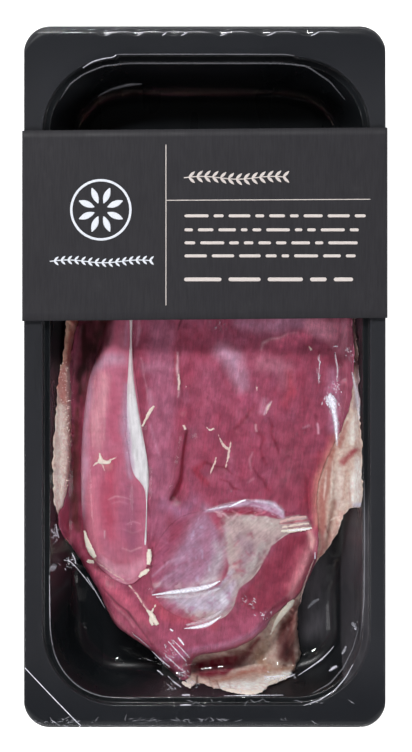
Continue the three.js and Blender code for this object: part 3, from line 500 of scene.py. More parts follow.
# Bits of fat and sinew that lie on the meat: how pink they are, then each one's picture points with a radius
FAT_BITS = [
    (0.15,
     [(99.6, 453, 0.5), (100.4, 457, 1.2), (101, 460, 2.4), (101.6, 463, 2.4)],
     [(98, 461.4, 2), (103, 461.6, 2.4), (108, 462.6, 1.8), (111, 461.4, 0.8)]),
    (0.4,
     [(107, 461.4, 1), (112, 459.4, 0.8), (116.5, 457, 0.4)],
     [(99, 462, 1.2), (96, 463.4, 0.9), (93, 466, 0.5)]),
    (0.7, [(102, 463, 0.9), (104, 468, 0.7), (106, 473, 0.4)]),
    (-0.1, [(84.4, 531, 0.8), (86, 539, 2), (88.4, 546, 3), (91.4, 552, 3.2), (94.6, 557.6, 2)]),
    (0.0, [(86.6, 561, 1.4), (89.6, 563, 2), (93.6, 562, 1.6)]),
    (0.7, [(97, 563, 0.5), (106, 569, 0.8), (116, 576, 0.7), (124, 580, 0.5)]),
    (0.0,
     [(149.4, 549, 1.6), (149.2, 553, 2.6), (149, 560, 2.4), (148.4, 564.5, 1.6)],
     [(138.8, 577, 1), (142, 574, 2.2), (146, 571.4, 2.5), (149, 569.4, 1.3)],
     [(146.6, 610, 0.8), (150, 613, 2.2), (152.5, 616.5, 2.8), (154.5, 621, 2.6), (157.5, 625, 1.6)],
     [(151.5, 617, 2), (150.5, 621.5, 1.6), (153, 625.6, 1.2)]),
    (0.2, [(151.5, 612, 1), (154, 607.5, 0.8), (156.6, 603.6, 0.5)]),
    (0.6, [(129, 585, 0.5), (134, 590.5, 0.9), (139, 598, 0.9), (143, 604.5, 0.8), (148, 611, 0.8)]),
    (0.25, [(142.4, 426.4, 1), (146.5, 418, 1.3), (150.4, 410.6, 1.9), (154, 405.8, 1.2)]),
    (0.5,
     [(218.4, 435, 0.4), (220.6, 440.6, 0.9), (224, 446, 1.2), (228.6, 449.6, 1.3)],
     [(230.8, 441, 0.4), (230.2, 446, 0.8), (228.8, 451, 1.3), (228.2, 458, 1), (225.6, 467.4, 0.4)],
     [(216.8, 456, 0.5), (214.6, 463, 1.1), (210, 474, 0.5)]),
    (0.2, [(207, 427, 0.6), (209.6, 430.6, 1.2), (214.4, 428.6, 0.8)]),
    (0.4, [(256.2, 385, 0.7), (256.8, 391, 1)]),
    (0.6, [(271, 402.4, 0.6), (268, 407, 1.3), (265.4, 414, 0.7)]),
    (0.4, [(183.6, 425, 1), (185.2, 429.6, 1.1)]),
    (0.6, [(186, 386.5, 0.5), (187, 387.6, 0.5)]),
    (0.5, [(178.6, 374, 0.6), (179, 382, 1.3), (178.6, 390, 0.8)]),
    (0.3, [(309, 345.5, 0.6), (311.5, 350, 1.2)]),
    (0.7, [(280, 522, 1.1), (292, 518.4, 1.6), (306, 516.6, 0.9)]),
    (0.3, [(282, 527.4, 0.9), (296, 525, 1.2), (309, 523.6, 0.8)]),
    (0.0,
     [(281, 531, 1), (290, 531, 1.9), (302, 529.6, 1.8), (312, 528, 0.9)],
     [(271, 637, 0.5), (275, 627, 1.6), (280.5, 617.6, 3), (286, 611, 3.6), (291, 605, 3.2),
      (294, 601, 1.4)]),
    (0.6, [(314, 561, 0.3), (310, 571, 0.7), (305.6, 583, 0.7), (302.6, 595, 0.7), (301, 606, 0.3)]),
    (0.1,
     [(182, 681.6, 1), (186.4, 684, 2.2), (191.4, 685.6, 1.8)],
     [(222, 687.4, 1.2), (236, 689.4, 2), (250, 690.4, 2.2), (262, 689, 1.4)]),
    (0.05, [(266, 684.4, 1.2), (276, 681.6, 1.8), (290, 677.6, 1.2)]),
]
# Papillae on the left strip of skin, towards its right side
PAPILLAE = [(66, 372), (67, 384), (67.5, 396), (68, 408), (68.6, 424), (68.4, 442), (67.6, 462), (66, 482)]
SHEET_EDGE = seen([
    (226, 515.5), (238, 516.5), (252, 515), (266, 516), (278, 518.5), (290, 516.5), (306, 515.5),
    (312.5, 528), (298, 533), (284.5, 535), (279, 541), (271, 545), (267.5, 554), (262, 562), (258, 574),
    (248, 583), (239, 590), (236, 598), (234, 606), (229, 613), (221, 619.5), (200, 620), (180, 613),
    (162, 605), (168, 596), (200, 593), (216, 587), (226, 576), (229, 566), (224, 550), (222, 533),
])
SHEET_MARKS = [
    ("membrane side", (184, 156, 172), 0.9, 6, 0,
     [(222, 530, 4), (222, 548, 4), (224, 566, 5), (216, 582, 6)]),
    ("lower membrane", (198, 182, 202), 0.97, 5, 0,
     [(168, 601, 3), (195, 604, 9), (216, 603, 10), (228, 594, 6), (234, 584, 3)]),
    # Painted shadow of the film's fold, running on from its highlight.
    ("painted blue fold shadow", (166, 160, 186), 0.7, 4, 0, [(208, 590, 2), (220, 585, 2.4), (229, 577, 2), (234, 570, 1)]),
    ("lower membrane bright", (216, 208, 222), 0.9, 5, 0, [(212, 598, 2), (221, 599, 5), (226, 603, 4)]),
    ("pink end", (190, 120, 148), 0.9, 6, 0, [(160, 600, 5), (170, 606, 6), (182, 612, 4)]),
    ("cream upper part", (202, 184, 182), 0.9, 5, 0, [(244, 519, 3), (262, 523, 6), (276, 527, 5)]),
    ("cream left streak", (196, 176, 174), 0.8, 3, 0, [(228, 534, 2), (230, 546, 3), (232, 556, 2)]),
    ("cream cross streak", (196, 174, 174), 0.8, 2, 0.1, [(192, 566, 0.5), (212, 568, 1.6), (230, 566, 2)]),
    ("grey middle", (168, 138, 152), 0.8, 6, 0, [(240, 538, 5), (250, 548, 6), (246, 562, 6)]),
    ("cream lower right", (190, 176, 178), 0.8, 3, 0,
     [(262, 545, 3), (256, 560, 4), (246, 572, 4), (240, 582, 3)]),
    ("between the prongs", (178, 84, 102), 0.9, 1, -0.3, [(280, 524, 0.5), (296, 521.5, 1), (308, 520, 0.7)]),
    ("prong shade", (180, 120, 126), 0.8, 0.8, -0.1, [(290, 527.5, 0.4), (309, 525.5, 0.5)]),
    ("red mark", (176, 80, 106), 0.9, 2.6, -0.1, [(234, 564, 1.2), (240, 561.5, 1.6)]),
    ("red mark", (190, 92, 114), 0.65, 2, -0.1, [(235, 569, 0.8), (242, 571, 1)]),
    ("red specks", (176, 96, 118), 0.6, 1.2, -0.05,
     [(251, 534, 0.6), (253, 538, 0.9)], [(246, 551, 0.6), (250, 555, 0.9)],
     [(238, 541, 0.6), (234, 546, 0.6)]),
]
LOBE_EDGE = seen([
    (277, 545), (284, 537), (298, 535), (310, 533), (313, 545), (312, 560), (305, 578), (298, 594),
    (284, 604), (270, 611), (256, 612), (244, 606), (240, 596), (258, 578), (268, 560),
])
SKIN_MARKS = [
    ("brown upper left", (160, 90, 84), 0.97, 5, 0, [(75, 318, 8), (70, 345, 8), (66, 362, 6)]),
    ("tan outer side of it", (196, 156, 136), 0.8, 2, 0, [(68, 322, 2), (66, 345, 1.5), (61, 370, 2)]),
    # The dark border is painted shade along the strip's right edge, where it drops into the valley in the
    # sleeve's shadow.
    ("dark border", (70, 34, 34), 0.9, 2, -0.2, [(83, 318, 4), (76, 340, 3), (72, 370, 2.5), (71, 395, 1)]),
    ("pink brown flecks", (196, 128, 120), 0.9, 3, 0, [(63, 372, 4), (62, 386, 5), (64, 402, 3)]),
    ("left strip", (255, 242, 232), 0.93, 3, 0.2, [(61, 408, 3), (61, 440, 5), (61, 480, 6), (59.6, 506, 5)]),
    ("left strip shade", (170, 124, 112), 0.75, 1.6, 0, [(69.5, 392, 1), (70, 440, 1), (68, 488, 0.6)]),
    ("dark right strip", (60, 38, 36), 0.97, 3, 0,
     [(355, 316, 7), (356, 345, 6), (357, 368, 4), (357, 378, 1)]),
    # The grey right strip is a painted film reflection over the skin by the right wall.
    ("grey right strip", (150, 128, 136), 0.9, 4, 0, [(358, 372, 2), (357, 390, 4), (356, 404, 3)]),
    ("flap upper piece", (232, 224, 216), 0.97, 2, 0.3, [(356, 413, 1.6), (354, 428, 4), (351, 442, 3)]),
    ("flap upper brown", (176, 118, 112), 0.9, 2, -0.2, [(348, 422, 1), (343, 434, 2.6), (339, 446, 2.4)]),
    ("flap red", (166, 70, 80), 0.9, 2.4, -0.2, [(357, 449, 1.4), (350, 453, 2.6), (343, 462, 3.2)]),
    ("flap red dark", (160, 66, 78), 0.8, 2, -0.2, [(354, 449, 0.8), (347, 457, 1.4)]),
    ("flap tan left", (178, 116, 108), 0.9, 3, 0,
     [(333, 452, 2), (326, 480, 4), (322, 505, 5), (323, 530, 4)]),
    ("flap cream middle", (216, 196, 188), 0.92, 4, 0.2, [(340, 470, 3), (338, 488, 6), (340, 505, 5)]),
    # Painted light on the flap's right side, and a painted film reflection at its bluish corner.
    ("flap bright side", (246, 244, 240), 0.97, 3, 0.4, [(357, 458, 2), (355, 485, 5), (354, 500, 4)]),
    ("flap bluish corner", (210, 216, 240), 0.8, 2, 0, [(354, 505, 2), (361, 503, 2)]),
    # The flap folds are painted shade in their hollows and painted highlight on their ridges.
    ("flap folds", (190, 150, 138), 0.8, 1.2, -0.3,
     [(346, 470, 0.6), (345, 485, 1), (343, 500, 0.8)],
     [(350, 476, 0.5), (349.5, 492, 0.9), (351, 506, 0.6)]),
    ("flap folds", (250, 238, 230), 0.8, 1, 0.3, [(326, 470, 0.4), (325, 487, 0.8), (324, 500, 0.4)]),
    ("flap folds", (250, 238, 230), 0.7, 1, 0.3, [(333, 462, 0.4), (331, 480, 0.9), (332, 500, 0.5)]),
    ("flap folds", (180, 134, 122), 0.7, 1.2, -0.2, [(329, 460, 0.5), (328, 478, 0.8), (328, 492, 0.8)]),
    ("flap brown", (146, 92, 84), 0.9, 3, -0.4,
     [(335, 500, 0.8), (333, 512, 1.6), (330, 530, 2), (327, 550, 1.6)]),
    ("flap lower part", (214, 170, 160), 0.9, 2.5, 0.2, [(343, 514, 3), (338, 528, 4), (332, 542, 2.6)]),
    ("flap pale rim", (240, 216, 206), 0.9, 1, 0.3,
     [(349, 510, 0.8), (342, 522, 1.1), (338, 535, 1), (330, 549, 0.7)]),
    ("flap lower left", (176, 106, 104), 0.9, 3, 0, [(322, 534, 3), (323, 548, 3), (320, 558, 2)]),
    ("flap red border", (196, 128, 120), 0.7, 6, 0,
     [(338, 438, 1), (330, 458, 2), (323, 478, 2), (318, 505, 2), (318, 530, 2)]),
    ("flap blood", (120, 26, 44), 0.85, 1, -0.1, [(314, 524, 1.2), (317, 530, 0.8)]),
    ("flap blood", (120, 40, 50), 0.7, 0.9, -0.1, [(326, 527, 1), (328, 533, 0.6)]),
    ("flap strands", (240, 222, 210), 0.8, 0.8, 0.3, [(331, 521, 0.5), (337, 518, 1), (343, 525, 0.6)]),
    ("outer line", (176, 150, 138), 0.9, 1.5, 0.3,
     [(316, 560, 1), (308, 582, 1), (302, 600, 1), (299.5, 625, 1)]),
    ("lower flap", (146, 88, 84), 0.97, 5, 0, [(290, 618, 7), (288, 635, 9), (286, 655, 9)]),
    ("lower flap upper part", (206, 150, 148), 0.9, 4, 0, [(294, 602, 3), (292, 613, 4)]),
    ("lower flap right", (104, 64, 60), 0.8, 4, 0.1, [(299, 612, 1), (299, 640, 1.6), (299, 658, 2)]),
    ("lower flap brown red", (136, 76, 70), 0.8, 3, 0, [(292, 656, 2), (295, 666, 3)]),
    ("tan right foot", (186, 146, 124), 0.85, 4, 0.1, [(268, 671, 3), (282, 670, 3), (294, 670, 2)]),
    ("brown knot", (120, 66, 56), 0.9, 1, -0.1, [(284, 668, 1.2), (287, 669, 1)]),
    ("dark band", (142, 36, 60), 0.97, 3, -0.3,
     [(192, 670, 4), (205, 671, 8), (222, 669, 9), (236, 664, 7), (248, 656, 4), (260, 640, 1.5)]),
    ("dark band lower side", (128, 40, 56), 0.9, 3, 0, [(196, 676, 2), (212, 677, 2), (226, 674, 2)]),
    ("brown right of it", (112, 66, 62), 0.9, 4, 0, [(254, 644, 2), (247, 656, 3), (238, 666, 3)]),
    ("lower flap tan", (192, 158, 136), 0.95, 5, 0.2,
     [(270, 637, 1.5), (264, 648, 4.5), (258, 660, 6), (264, 669, 5)]),
    ("tongue", (252, 236, 218), 0.96, 4, 0.3,
     [(271, 640, 1), (276, 626, 3.4), (282, 616, 4.6), (290, 606, 4)]),
    ("lower flap brown", (128, 84, 80), 0.9, 5, 0, [(283, 624, 3), (280, 640, 4), (279, 655, 4)]),
    ("lower flap red core", (80, 34, 38), 0.98, 6, 0, [(290, 626, 2), (285.5, 640, 5.5), (286, 653, 5)]),
    ("brown in the band", (140, 92, 86), 0.9, 2.5, 0.1, [(229, 656, 2), (238, 656.5, 3.4), (245, 656, 2)]),
    ("peach above the rim", (182, 112, 94), 0.9, 3.5, 0,
     [(199, 682, 0.4), (214, 682, 0.6), (232, 679, 1), (250, 674, 2.4), (264, 672, 2)]),
    ("lower rim", (255, 253, 248), 0.97, 2.4, 0.5,
     [(220, 686.4, 3), (236, 687, 4.4), (256, 686, 5), (272, 681, 4.4), (291, 676.6, 2.8)]),
    ("rim left part", (238, 216, 206), 0.95, 1.6, 0.4, [(201, 682, 1.4), (208, 684, 2.4), (215, 685.5, 1.6)]),
    ("rim gaps", (90, 50, 48), 0.9, 0.9, -0.6, [(197.5, 678, 0.6), (197.5, 685, 1)]),
    ("rim gaps", (140, 84, 74), 0.85, 0.8, -0.5, [(209, 680, 0.5), (212.5, 687, 0.6)]),
    ("rim gaps", (150, 96, 84), 0.8, 0.8, -0.5, [(217, 681, 0.5), (220, 687.5, 0.6)]),
    ("rim gaps", (190, 140, 124), 0.7, 0.8, -0.4, [(229, 684, 0.4), (231, 689.5, 0.6)]),
    ("left end", (255, 240, 236), 0.95, 1.6, 0.4, [(183, 681, 1.6), (187, 684, 2.4), (192, 684.5, 2.2)]),
]


def linear(colour):
    share = np.array(colour, float) / 255
    return np.where(share <= 0.04045, share / 12.92, ((share + 0.055) / 1.055) ** 2.4)


def shaken(x, y, reach):
    """Places moved a little, so that marks have uneven edges; soft marks are moved further."""
    size = 1.6 + 3 * reach
    dx = reach * (0.28 * lumps(x, y, size, 5) + 0.14 * lumps(x, y, size / 2.3, 6))
    dy = reach * (0.28 * lumps(x, y, size, 7) + 0.14 * lumps(x, y, size / 2.3, 8))
    return x + dx, y + dy


def near_stroke(stroke, reach, x, y):
    low = (stroke[:, :2] - stroke[:, 2:]).min(0) - reach
    high = (stroke[:, :2] + stroke[:, 2:]).max(0) + reach
    return (x > low[0]) & (x < high[0]) & (y > low[1]) & (y < high[1])


def each_stroke(marks):
    """Each stroke of some marks in millimetres, with its mark's colour, cover, softness and rise."""
    for _, colour, cover, soft, rise, *strokes in marks:
        for stroke in strokes:
            yield linear(colour), cover, soft * MEAT_SCALE, rise, seen(stroke)


def marked(colours, marks, x, y):
    """Colours with marks painted over them in turn."""
    crisp, broad = shaken(x, y, 0.9), shaken(x, y, 2.4)
    patchy = 1 + 0.25 * lumps(x, y, (1.3, 2.6), 9)
    colours = colours.copy()
    for colour, cover, soft, _, stroke in each_stroke(marks):
        wx, wy = broad if soft > 1.3 else crisp
        near = near_stroke(stroke, soft + 0.2, wx, wy)
        share = ease(soft, -soft, outside_stroke(stroke, wx[near], wy[near]))
        share = clamp01(cover * share * (patchy[near] if soft > 0.7 else 1))
        colours[near] = mix(colours[near], colour, share[:, None])
    return colours


def risen(marks, x, y):
    """How far some marks stand above the surface, in millimetres."""
    total = np.zeros(x.shape)
    for _, _, soft, rise, stroke in each_stroke(marks):
        if rise:
            near = near_stroke(stroke, soft + 0.1, x, y)
            total[near] += rise * ease(soft, -soft, outside_stroke(stroke, x[near], y[near]))
    return total


def plain(colour, x):
    return np.tile(linear(colour), (len(x), 1))


# Surfaces. The two places given to ease are where a change begins and where it ends


def right_fall(x):
    """How far the meat falls away towards the right."""
    return 1.5 * ease(20, 40, x) + 2.5 * ease(44, 54, x)


def beside_flap(x, y):
    """1 where the muscle thins out beside the flap of skin."""
    return ease(34, 39, x) * ease(-70, -62, y) * ease(6, -4, y)


def skin_bottom(x, y):
    return tray_top(x, y) + 2 * GAP


def skin_top(x, y, rough=True):
    """A sheet on the tray that stands up as a flap on the right and as a strip on the left."""
    tray = tray_top(x, y)
    thickness = mix(SKIN_THICKNESS, SKIN_ON_WALL, ease(45, 50, x) * ease(4, 12, tray))
    sheet = tray + thickness * mix(0.5, 1, rounded_edge(within("skin", x, y), SKIN_ROUND))
    out = -within("muscle", x, y)
    beside = ease(0.6, 4, out)
    flap = ease(33.5, 38, x) * ease(-74, -62, y) * ease(6, -8, y)
    level = FLAP_LEVEL - right_fall(x) + 6 * ease(47, 55, x) - 5 * ease(-52, -68, y)
    level = level + 1.2 * ease(-0.6, -0.1, out)
    raised = mix(sheet, np.maximum(sheet, level), flap * ease(-1.8, -0.6, out))
    strip = ease(-45, -47.5, x) * ease(-56, -50, y) * ease(-0.2, 1.2, out)
    raised = mix(raised, np.maximum(raised, STRIP_LEVEL + 1.25 * (-48.6 - x)), strip)
    raised = raised - creased(SKIN_RIDGES, x, y) * beside * (1 - 0.7 * flap)
    if rough:
        bumps = 0.45 * lumps(x, y, 1.5, 11) + 0.3 * lumps(x, y, 0.8, 12)
        folds = 0.45 * lumps(x - 0.15 * y, y, (1.5, 9.0), 13)
        smooth = ease(-88, -93, y)
        raised = raised + ease(0.2, 1.5, out) * (mix(bumps, folds, ease(36, 41, x)) * (1 - 0.6 * smooth))
        raised = raised + ease(0, 0.8, out) * risen(SKIN_MARKS, x, y)
    return np.maximum(raised, skin_bottom(x, y) + 1)


def muscle_bottom(x, y):
    return skin_top(x, y, rough=False) + 2 * GAP * (1 - 0.7 * beside_flap(x, y))


def muscle_top(x, y, rough=True):
    """A level top with round sides, lower under the fillet, on the flank and at both ends."""
    beside_fillet = ease(-28, -40, x) * ease(-80, -66, y)
    under_fillet = FILLET_SEAT * ease(0, 6, within("fillet", x, y)) * (1 - beside_fillet)
    ends = 2.5 * ease(-78, -104, y) + 4 * ease(50, 76, y)
    level = mix(MUSCLE_LEVEL, FLANK_LEVEL, beside_fillet) - under_fillet - right_fall(x) - ends
    level = level - creased(CREASES, x, y)
    if rough:
        level = level + risen(MUSCLE_MARKS, x, y) + 0.35 * lumps(x, y, (5.0, 11.0), 21)
        level = level + 0.08 * lumps(x, y, (0.9, 6.0), 22) + 0.12 * lumps(x, y, 2.4, 23)
    bottom = muscle_bottom(x, y)
    radius = mix(9, 4.2, ease(-36, -52, y))
    rise = np.maximum(rounded_edge(within("muscle", x, y), radius), beside_flap(x, y))
    return np.maximum(mix(bottom, level, rise), bottom + mix(0.5, 0.15, beside_flap(x, y)))


def fillet_bottom(x, y):
    return muscle_top(x, y, rough=False) + 0.1


def fillet_top(x, y, rough=True):
    """A long loaf, lower at both ends."""
    bottom = fillet_bottom(x, y)
    level = FILLET_LEVEL - 3 * ease(40, 66, y) - 3 * ease(-60, -76, y)
    if rough:
        level = level + risen(FILLET_MARKS, x, y) + 0.2 * lumps(x, y, (3.5, 14.0), 31)
        level = level + 0.05 * lumps(x, y, (0.8, 7.0), 32)
    rise = rounded_edge(within("fillet", x, y), mix(8.5, 5, ease(-26, -34, x)))
    return np.maximum(mix(bottom, level, rise), bottom + mix(0.8, 0.25, ease(-56, -64, y)))


def meat_top(x, y):
    muscle = muscle_top(x, y)
    return np.where(within("fillet", x, y) > -0.3, np.maximum(muscle, fillet_top(x, y)), muscle)


def tendon_top(x, y):
    return meat_top(x, y) + 0.06 + TENDON_HEIGHT * rounded_edge(within("tendon", x, y), 2.2)


def tendon_bottom(x, y):
    return meat_top(x, y) - 0.2


def sheet_thickness(x, y):
    """The membrane thins out to the left and is a sheet of fat on the right."""
    in_sheet = on_grid(SHEET_DISTANCE, x, y)
    right = ease(-1, 9, x + 0.5 * np.minimum(y + 80, 0))
    sheet = 0.75 + 0.2 * lumps(x, y, 1.6, 43) + 0.12 * lumps(x, y, 0.8, 44) + risen(SHEET_MARKS, x, y)
    return 0.1 + sheet * ease(-0.3, 2.2, in_sheet) * mix(0.15, 1, right)


def silverskin_top(x, y):
    return silverskin_bottom(x, y) + sheet_thickness(x, y)


def silverskin_bottom(x, y):
    return muscle_top(x, y) + 0.05


SHEET_DISTANCE = inside_by(SHEET_EDGE, GRID_X, GRID_Y)


def turned(angle):
    """Places across and along a grain that runs at an angle from +Y, in degrees."""
    cos, sin = np.cos(np.radians(angle)), np.sin(np.radians(angle))
    return lambda x, y: (x * cos + y * sin, y * cos - x * sin)


def muscle_colours(x, y):
    colours = plain((160, 74, 100), x)
    right = ease(20, 38, x)[:, None] * 0.6
    colours = mix(colours, linear((150, 68, 92)), right)
    colours = mottled(colours, x, y, 0.5)
    lobe = ease(-0.8, 0.8, inside_by(LOBE_EDGE, *shaken(x, y, 1)))[:, None]
    on_lobe = ("lobe rim", "lobe rim top", "lobe inner glow", "lobe dark side")
    under, over = split_marks(MUSCLE_MARKS, on_lobe)
    colours = marked(colours, under, x, y)
    colours = mix(colours, mottled(plain((142, 54, 76), x), x, y, 0.4), lobe * 0.92)
    return streaked(marked(colours, over, x, y), x, y, MUSCLE_GRAIN, 0.10)


def split_marks(marks, names):
    return [m for m in marks if m[0] not in names], [m for m in marks if m[0] in names]


def mottled(colours, x, y, amount):
    """Patches of purple and of red, and small darker and lighter spots."""
    patches = lumps(x, y, (4.5, 7.0), 41) + 0.6 * lumps(x, y, (1.7, 3.0), 42)
    purple = ease(0.1, 1.1, patches)[:, None] * amount
    red = ease(-0.1, -1.1, patches)[:, None] * amount
    colours = mix(colours, colours * (1.02, 1.35, 1.32), purple)
    return mix(colours, colours * (0.95, 0.62, 0.7), red)


def streaked(colours, x, y, angle, amount):
    """Light and dark fibres at an angle from +Y."""
    across, along = turned(angle)(x, y)
    fibres = 0.6 * lumps(across, along, (0.8, 5.0), 45) + 0.4 * lumps(across, along, (0.5, 3.0), 46)
    specks = 0.5 * lumps(x, y, 0.7, 47)
    colours = colours * (1 + amount * (fibres + specks))[:, None]
    spots = lumps(x, y, (0.8, 1.4), 57) + 0.3 * lumps(x, y, 6.0, 58)
    limit = 1.1 * np.std(spots) + 0.2
    dark = 5 * amount * ease(limit, 1.8 * limit, spots)[:, None]
    pale = 5 * amount * ease(-limit, -1.8 * limit, spots)[:, None]
    return mix(mix(colours, colours * (0.66, 0.5, 0.55), dark), colours * (1.15, 1.5, 1.45), pale)


def fillet_colours(x, y):
    colours = marked(mottled(plain((190, 106, 132), x), x, y, 0.25), FILLET_MARKS, x, y)
    across = lumps(x, y, (6.0, 0.9), 48)[:, None]
    return streaked(colours * (1 + 0.05 * across), x, y, FILLET_GRAIN, 0.07)


def silverskin_colours(x, y):
    soft = mix(2.4, 0.35, ease(5, 12, x - 0.3 * (y + 60)))
    edge = inside_by(SHEET_EDGE, *shaken(x, y, 1.6)) + 0.4 * soft * lumps(x, y, 1.3, 56)
    sheet = ease(-soft, soft, edge)[:, None]
    fat = marked(plain((190, 164, 166), x), SHEET_MARKS, x, y)
    blotch = 0.6 * lumps(x, y, 2.2, 49) + 0.5 * lumps(x, y, 0.9, 50)
    fat = mix(fat, fat * (0.86, 0.62, 0.72), ease(0.1, 0.8, blotch)[:, None])
    fat = mix(fat, fat * (1.15, 1.18, 1.16), 0.6 * ease(-0.2, -0.8, blotch)[:, None])
    thin = streaked(muscle_colours(x, y), x, y, SHEET_GRAIN, 0.10)
    return mix(thin, streaked(fat, x, y, SHEET_GRAIN, 0.14), sheet)


def tendon_colours(x, y):
    """White, paler brown at the thin top; its left side fades into the fillet through lavender."""
    colours = mix(plain((238, 235, 240), x), linear((228, 208, 212)), 0.8 * ease(-12, 2, y)[:, None])
    colours = colours * (1 + 0.14 * lumps(x, y, (0.5, 4.0), 53) - 0.06)[:, None]
    from_left = x - on_path_x(y) + 0.35 * lumps(x, y, (0.8, 3.0), 55)
    side = clamp01(ease(-30, -36, y) + ease(-8, 2, y))
    lavender = ease(-1.3, -2.6, from_left) * (1 - 0.8 * side)
    colours = mix(colours, linear((204, 176, 200)), lavender[:, None])
    return mix(colours, fillet_colours(x, y), (ease(-2.4, -3.7, from_left) * (1 - side))[:, None])


def on_path_x(y):
    """The tendon's middle line."""
    along, across = zip(*TENDON_LINE)
    return np.interp(y, along, across)


def skin_colours(x, y):
    fine = (1 + 0.10 * lumps(x, y, 1.1, 51) + 0.07 * lumps(x, y, 0.6, 52))[:, None]
    colours = marked(plain((214, 190, 178), x) * fine, SKIN_MARKS, x, y)
    return colours * (1 + 0.05 * lumps(x, y, 0.8, 54))[:, None]


# Meshes


def lattice(low, high, spacing):
    """Points in staggered rows."""
    rows = np.arange(low[1], high[1], spacing * 0.866)
    columns = np.arange(low[0], high[0], spacing)
    x, y = np.meshgrid(columns, rows)
    x = x + 0.5 * spacing * (np.arange(len(rows)) % 2)[:, None]
    return x.ravel(), y.ravel()


def evenly(loop, spacing):
    """A closed loop's points again, evenly apart."""
    closed = np.vstack([loop, loop[:1]])
    lengths = np.concatenate([[0], np.cumsum(np.hypot(*np.diff(closed, axis=0).T))])
    at = np.arange(0, lengths[-1] - spacing / 2, spacing)
    return np.stack([np.interp(at, lengths, closed[:, k]) for k in (0, 1)], axis=1)


def triangulated(loop, x, y):
    """Triangles over a loop and the points inside it, the loop's points first."""
    points = [Vector(p) for p in np.vstack([loop, np.stack([x, y], axis=1)])]
    edges = [(i, (i + 1) % len(loop)) for i in range(len(loop))]
    places, _, triangles, sources, _, _ = delaunay_2d_cdt(points, edges, [], 1, 1e-7)
    assert [s[0] for s in sources[:len(loop)]] == list(range(len(loop)))
    places = np.array([(p.x, p.y) for p in places])
    triangles = np.array(triangles)
    a, b, c = (places[triangles[:, k]] for k in range(3))
    turn = (b - a)[:, 0] * (c - a)[:, 1] - (b - a)[:, 1] * (c - a)[:, 0]
    triangles[turn < 0] = triangles[turn < 0][:, ::-1]
    return places, triangles[np.abs(turn) > 1e-9]


def mesh_object(name, vertices, faces, material, smooth=True):
    mesh = bpy.data.meshes.new(name)
    mesh.from_pydata((np.asarray(vertices) * MM).tolist(), [], [list(map(int, f)) for f in faces])
    mesh.polygons.foreach_set("use_smooth", [smooth] * len(mesh.polygons))
    mesh.materials.append(material)
    mesh.update()
    piece = bpy.data.objects.new(name, mesh)
    bpy.context.scene.collection.objects.link(piece)
    return piece


def keep_colours(piece, colours):
    attribute = piece.data.attributes.new("flesh", "FLOAT_COLOR", "POINT")
    rgba = np.hstack([np.clip(colours, 0, 1), np.ones((len(colours), 1))])
    attribute.data.foreach_set("color", rgba.astype(np.float32).ravel())


def keep_grain(piece, across, along):
    """Where a point is across and along the fibres, in millimetres."""
    attribute = piece.data.attributes.new("grain", "FLOAT_VECTOR", "POINT")
    vectors = np.stack([across, along, np.zeros(len(across))], axis=1)
    attribute.data.foreach_set("vector", vectors.astype(np.float32).ravel())


def closed_sheet(upper, upper_faces, lower, lower_faces, edge):
    """A body between two sheets, the first points of which are the same edge."""
    count = len(upper)
    i = np.arange(edge)
    j = (i + 1) % edge
    skirt = np.vstack([np.stack([i, count + i, count + j], 1), np.stack([i, count + j, j], 1)])
    return np.vstack([upper, lower]), np.vstack([upper_faces, lower_faces[:, ::-1] + count, skirt])


def layer(name, outline, spacing, is_fine, top, bottom, material, colours, grain=None, ragged=0.0):
    """A closed body over an outline, with close points where they are seen."""
    loop = evenly(outline, spacing * 1.2)
    loop = loop + ragged * np.column_stack([lumps(*loop.T, 1.3, 91), lumps(*loop.T, 1.1, 92)])
    fine, coarse = (lattice(loop.min(0), loop.max(0), step) for step in (spacing, COARSE_SPACING))
    keep_fine = is_fine(*fine) & (inside_by(outline, *fine) > spacing * 0.6)
    inner = inside_by(outline, *coarse) > 1
    keep_coarse = ~is_fine(*coarse) & inner
    upper = [np.concatenate([a[keep_fine], b[keep_coarse]]) for a, b in zip(fine, coarse)]
    places, top_faces = triangulated(loop, *upper)
    low_places, low_faces = triangulated(loop, *(v[inner] for v in coarse))
    low_z = np.minimum(bottom(*low_places.T), top(*low_places.T) - 0.1)
    upper, lower = np.column_stack([places, top(*places.T)]), np.column_stack([low_places, low_z])
    vertices, faces = closed_sheet(upper, top_faces, lower, low_faces, len(loop))
    piece = mesh_object(name, vertices, faces, material)
    smooth = np.arange(len(faces)) < len(faces) - 2 * len(loop)
    piece.data.polygons.foreach_set("use_smooth", smooth)
    x, y = vertices[:, 0], vertices[:, 1]
    keep_colours(piece, colours(x, y))
    if grain:
        keep_grain(piece, *grain(x, y))
    return piece


def bands(loops, closed=False):
    """The points of some loops, and the faces between neighbours, or all round to the first again."""
    count = len(loops[0])
    i = np.arange(count)
    j = (i + 1) % count
    faces = []
    for k in range(len(loops) if closed else len(loops) - 1):
        here, there = k * count, (k + 1) % len(loops) * count
        faces += np.stack([here + i, there + i, there + j, here + j], 1).tolist()
    return np.vstack(loops), faces


def joined_loops(loops):
    """A closed body through loops, with the first and last closed by fans."""
    vertices, faces = bands(loops)
    i = np.arange(len(loops[0]))
    for loop, upwards in ((0, True), (len(loops) - 1, False)):
        centre = len(vertices)
        vertices = np.vstack([vertices, loops[loop].mean(0)])
        start = loop * len(i)
        for a, b in zip(start + i, start + (i + 1) % len(i)):
            faces.append([centre, a, b] if upwards else [centre, b, a])
    return vertices, faces


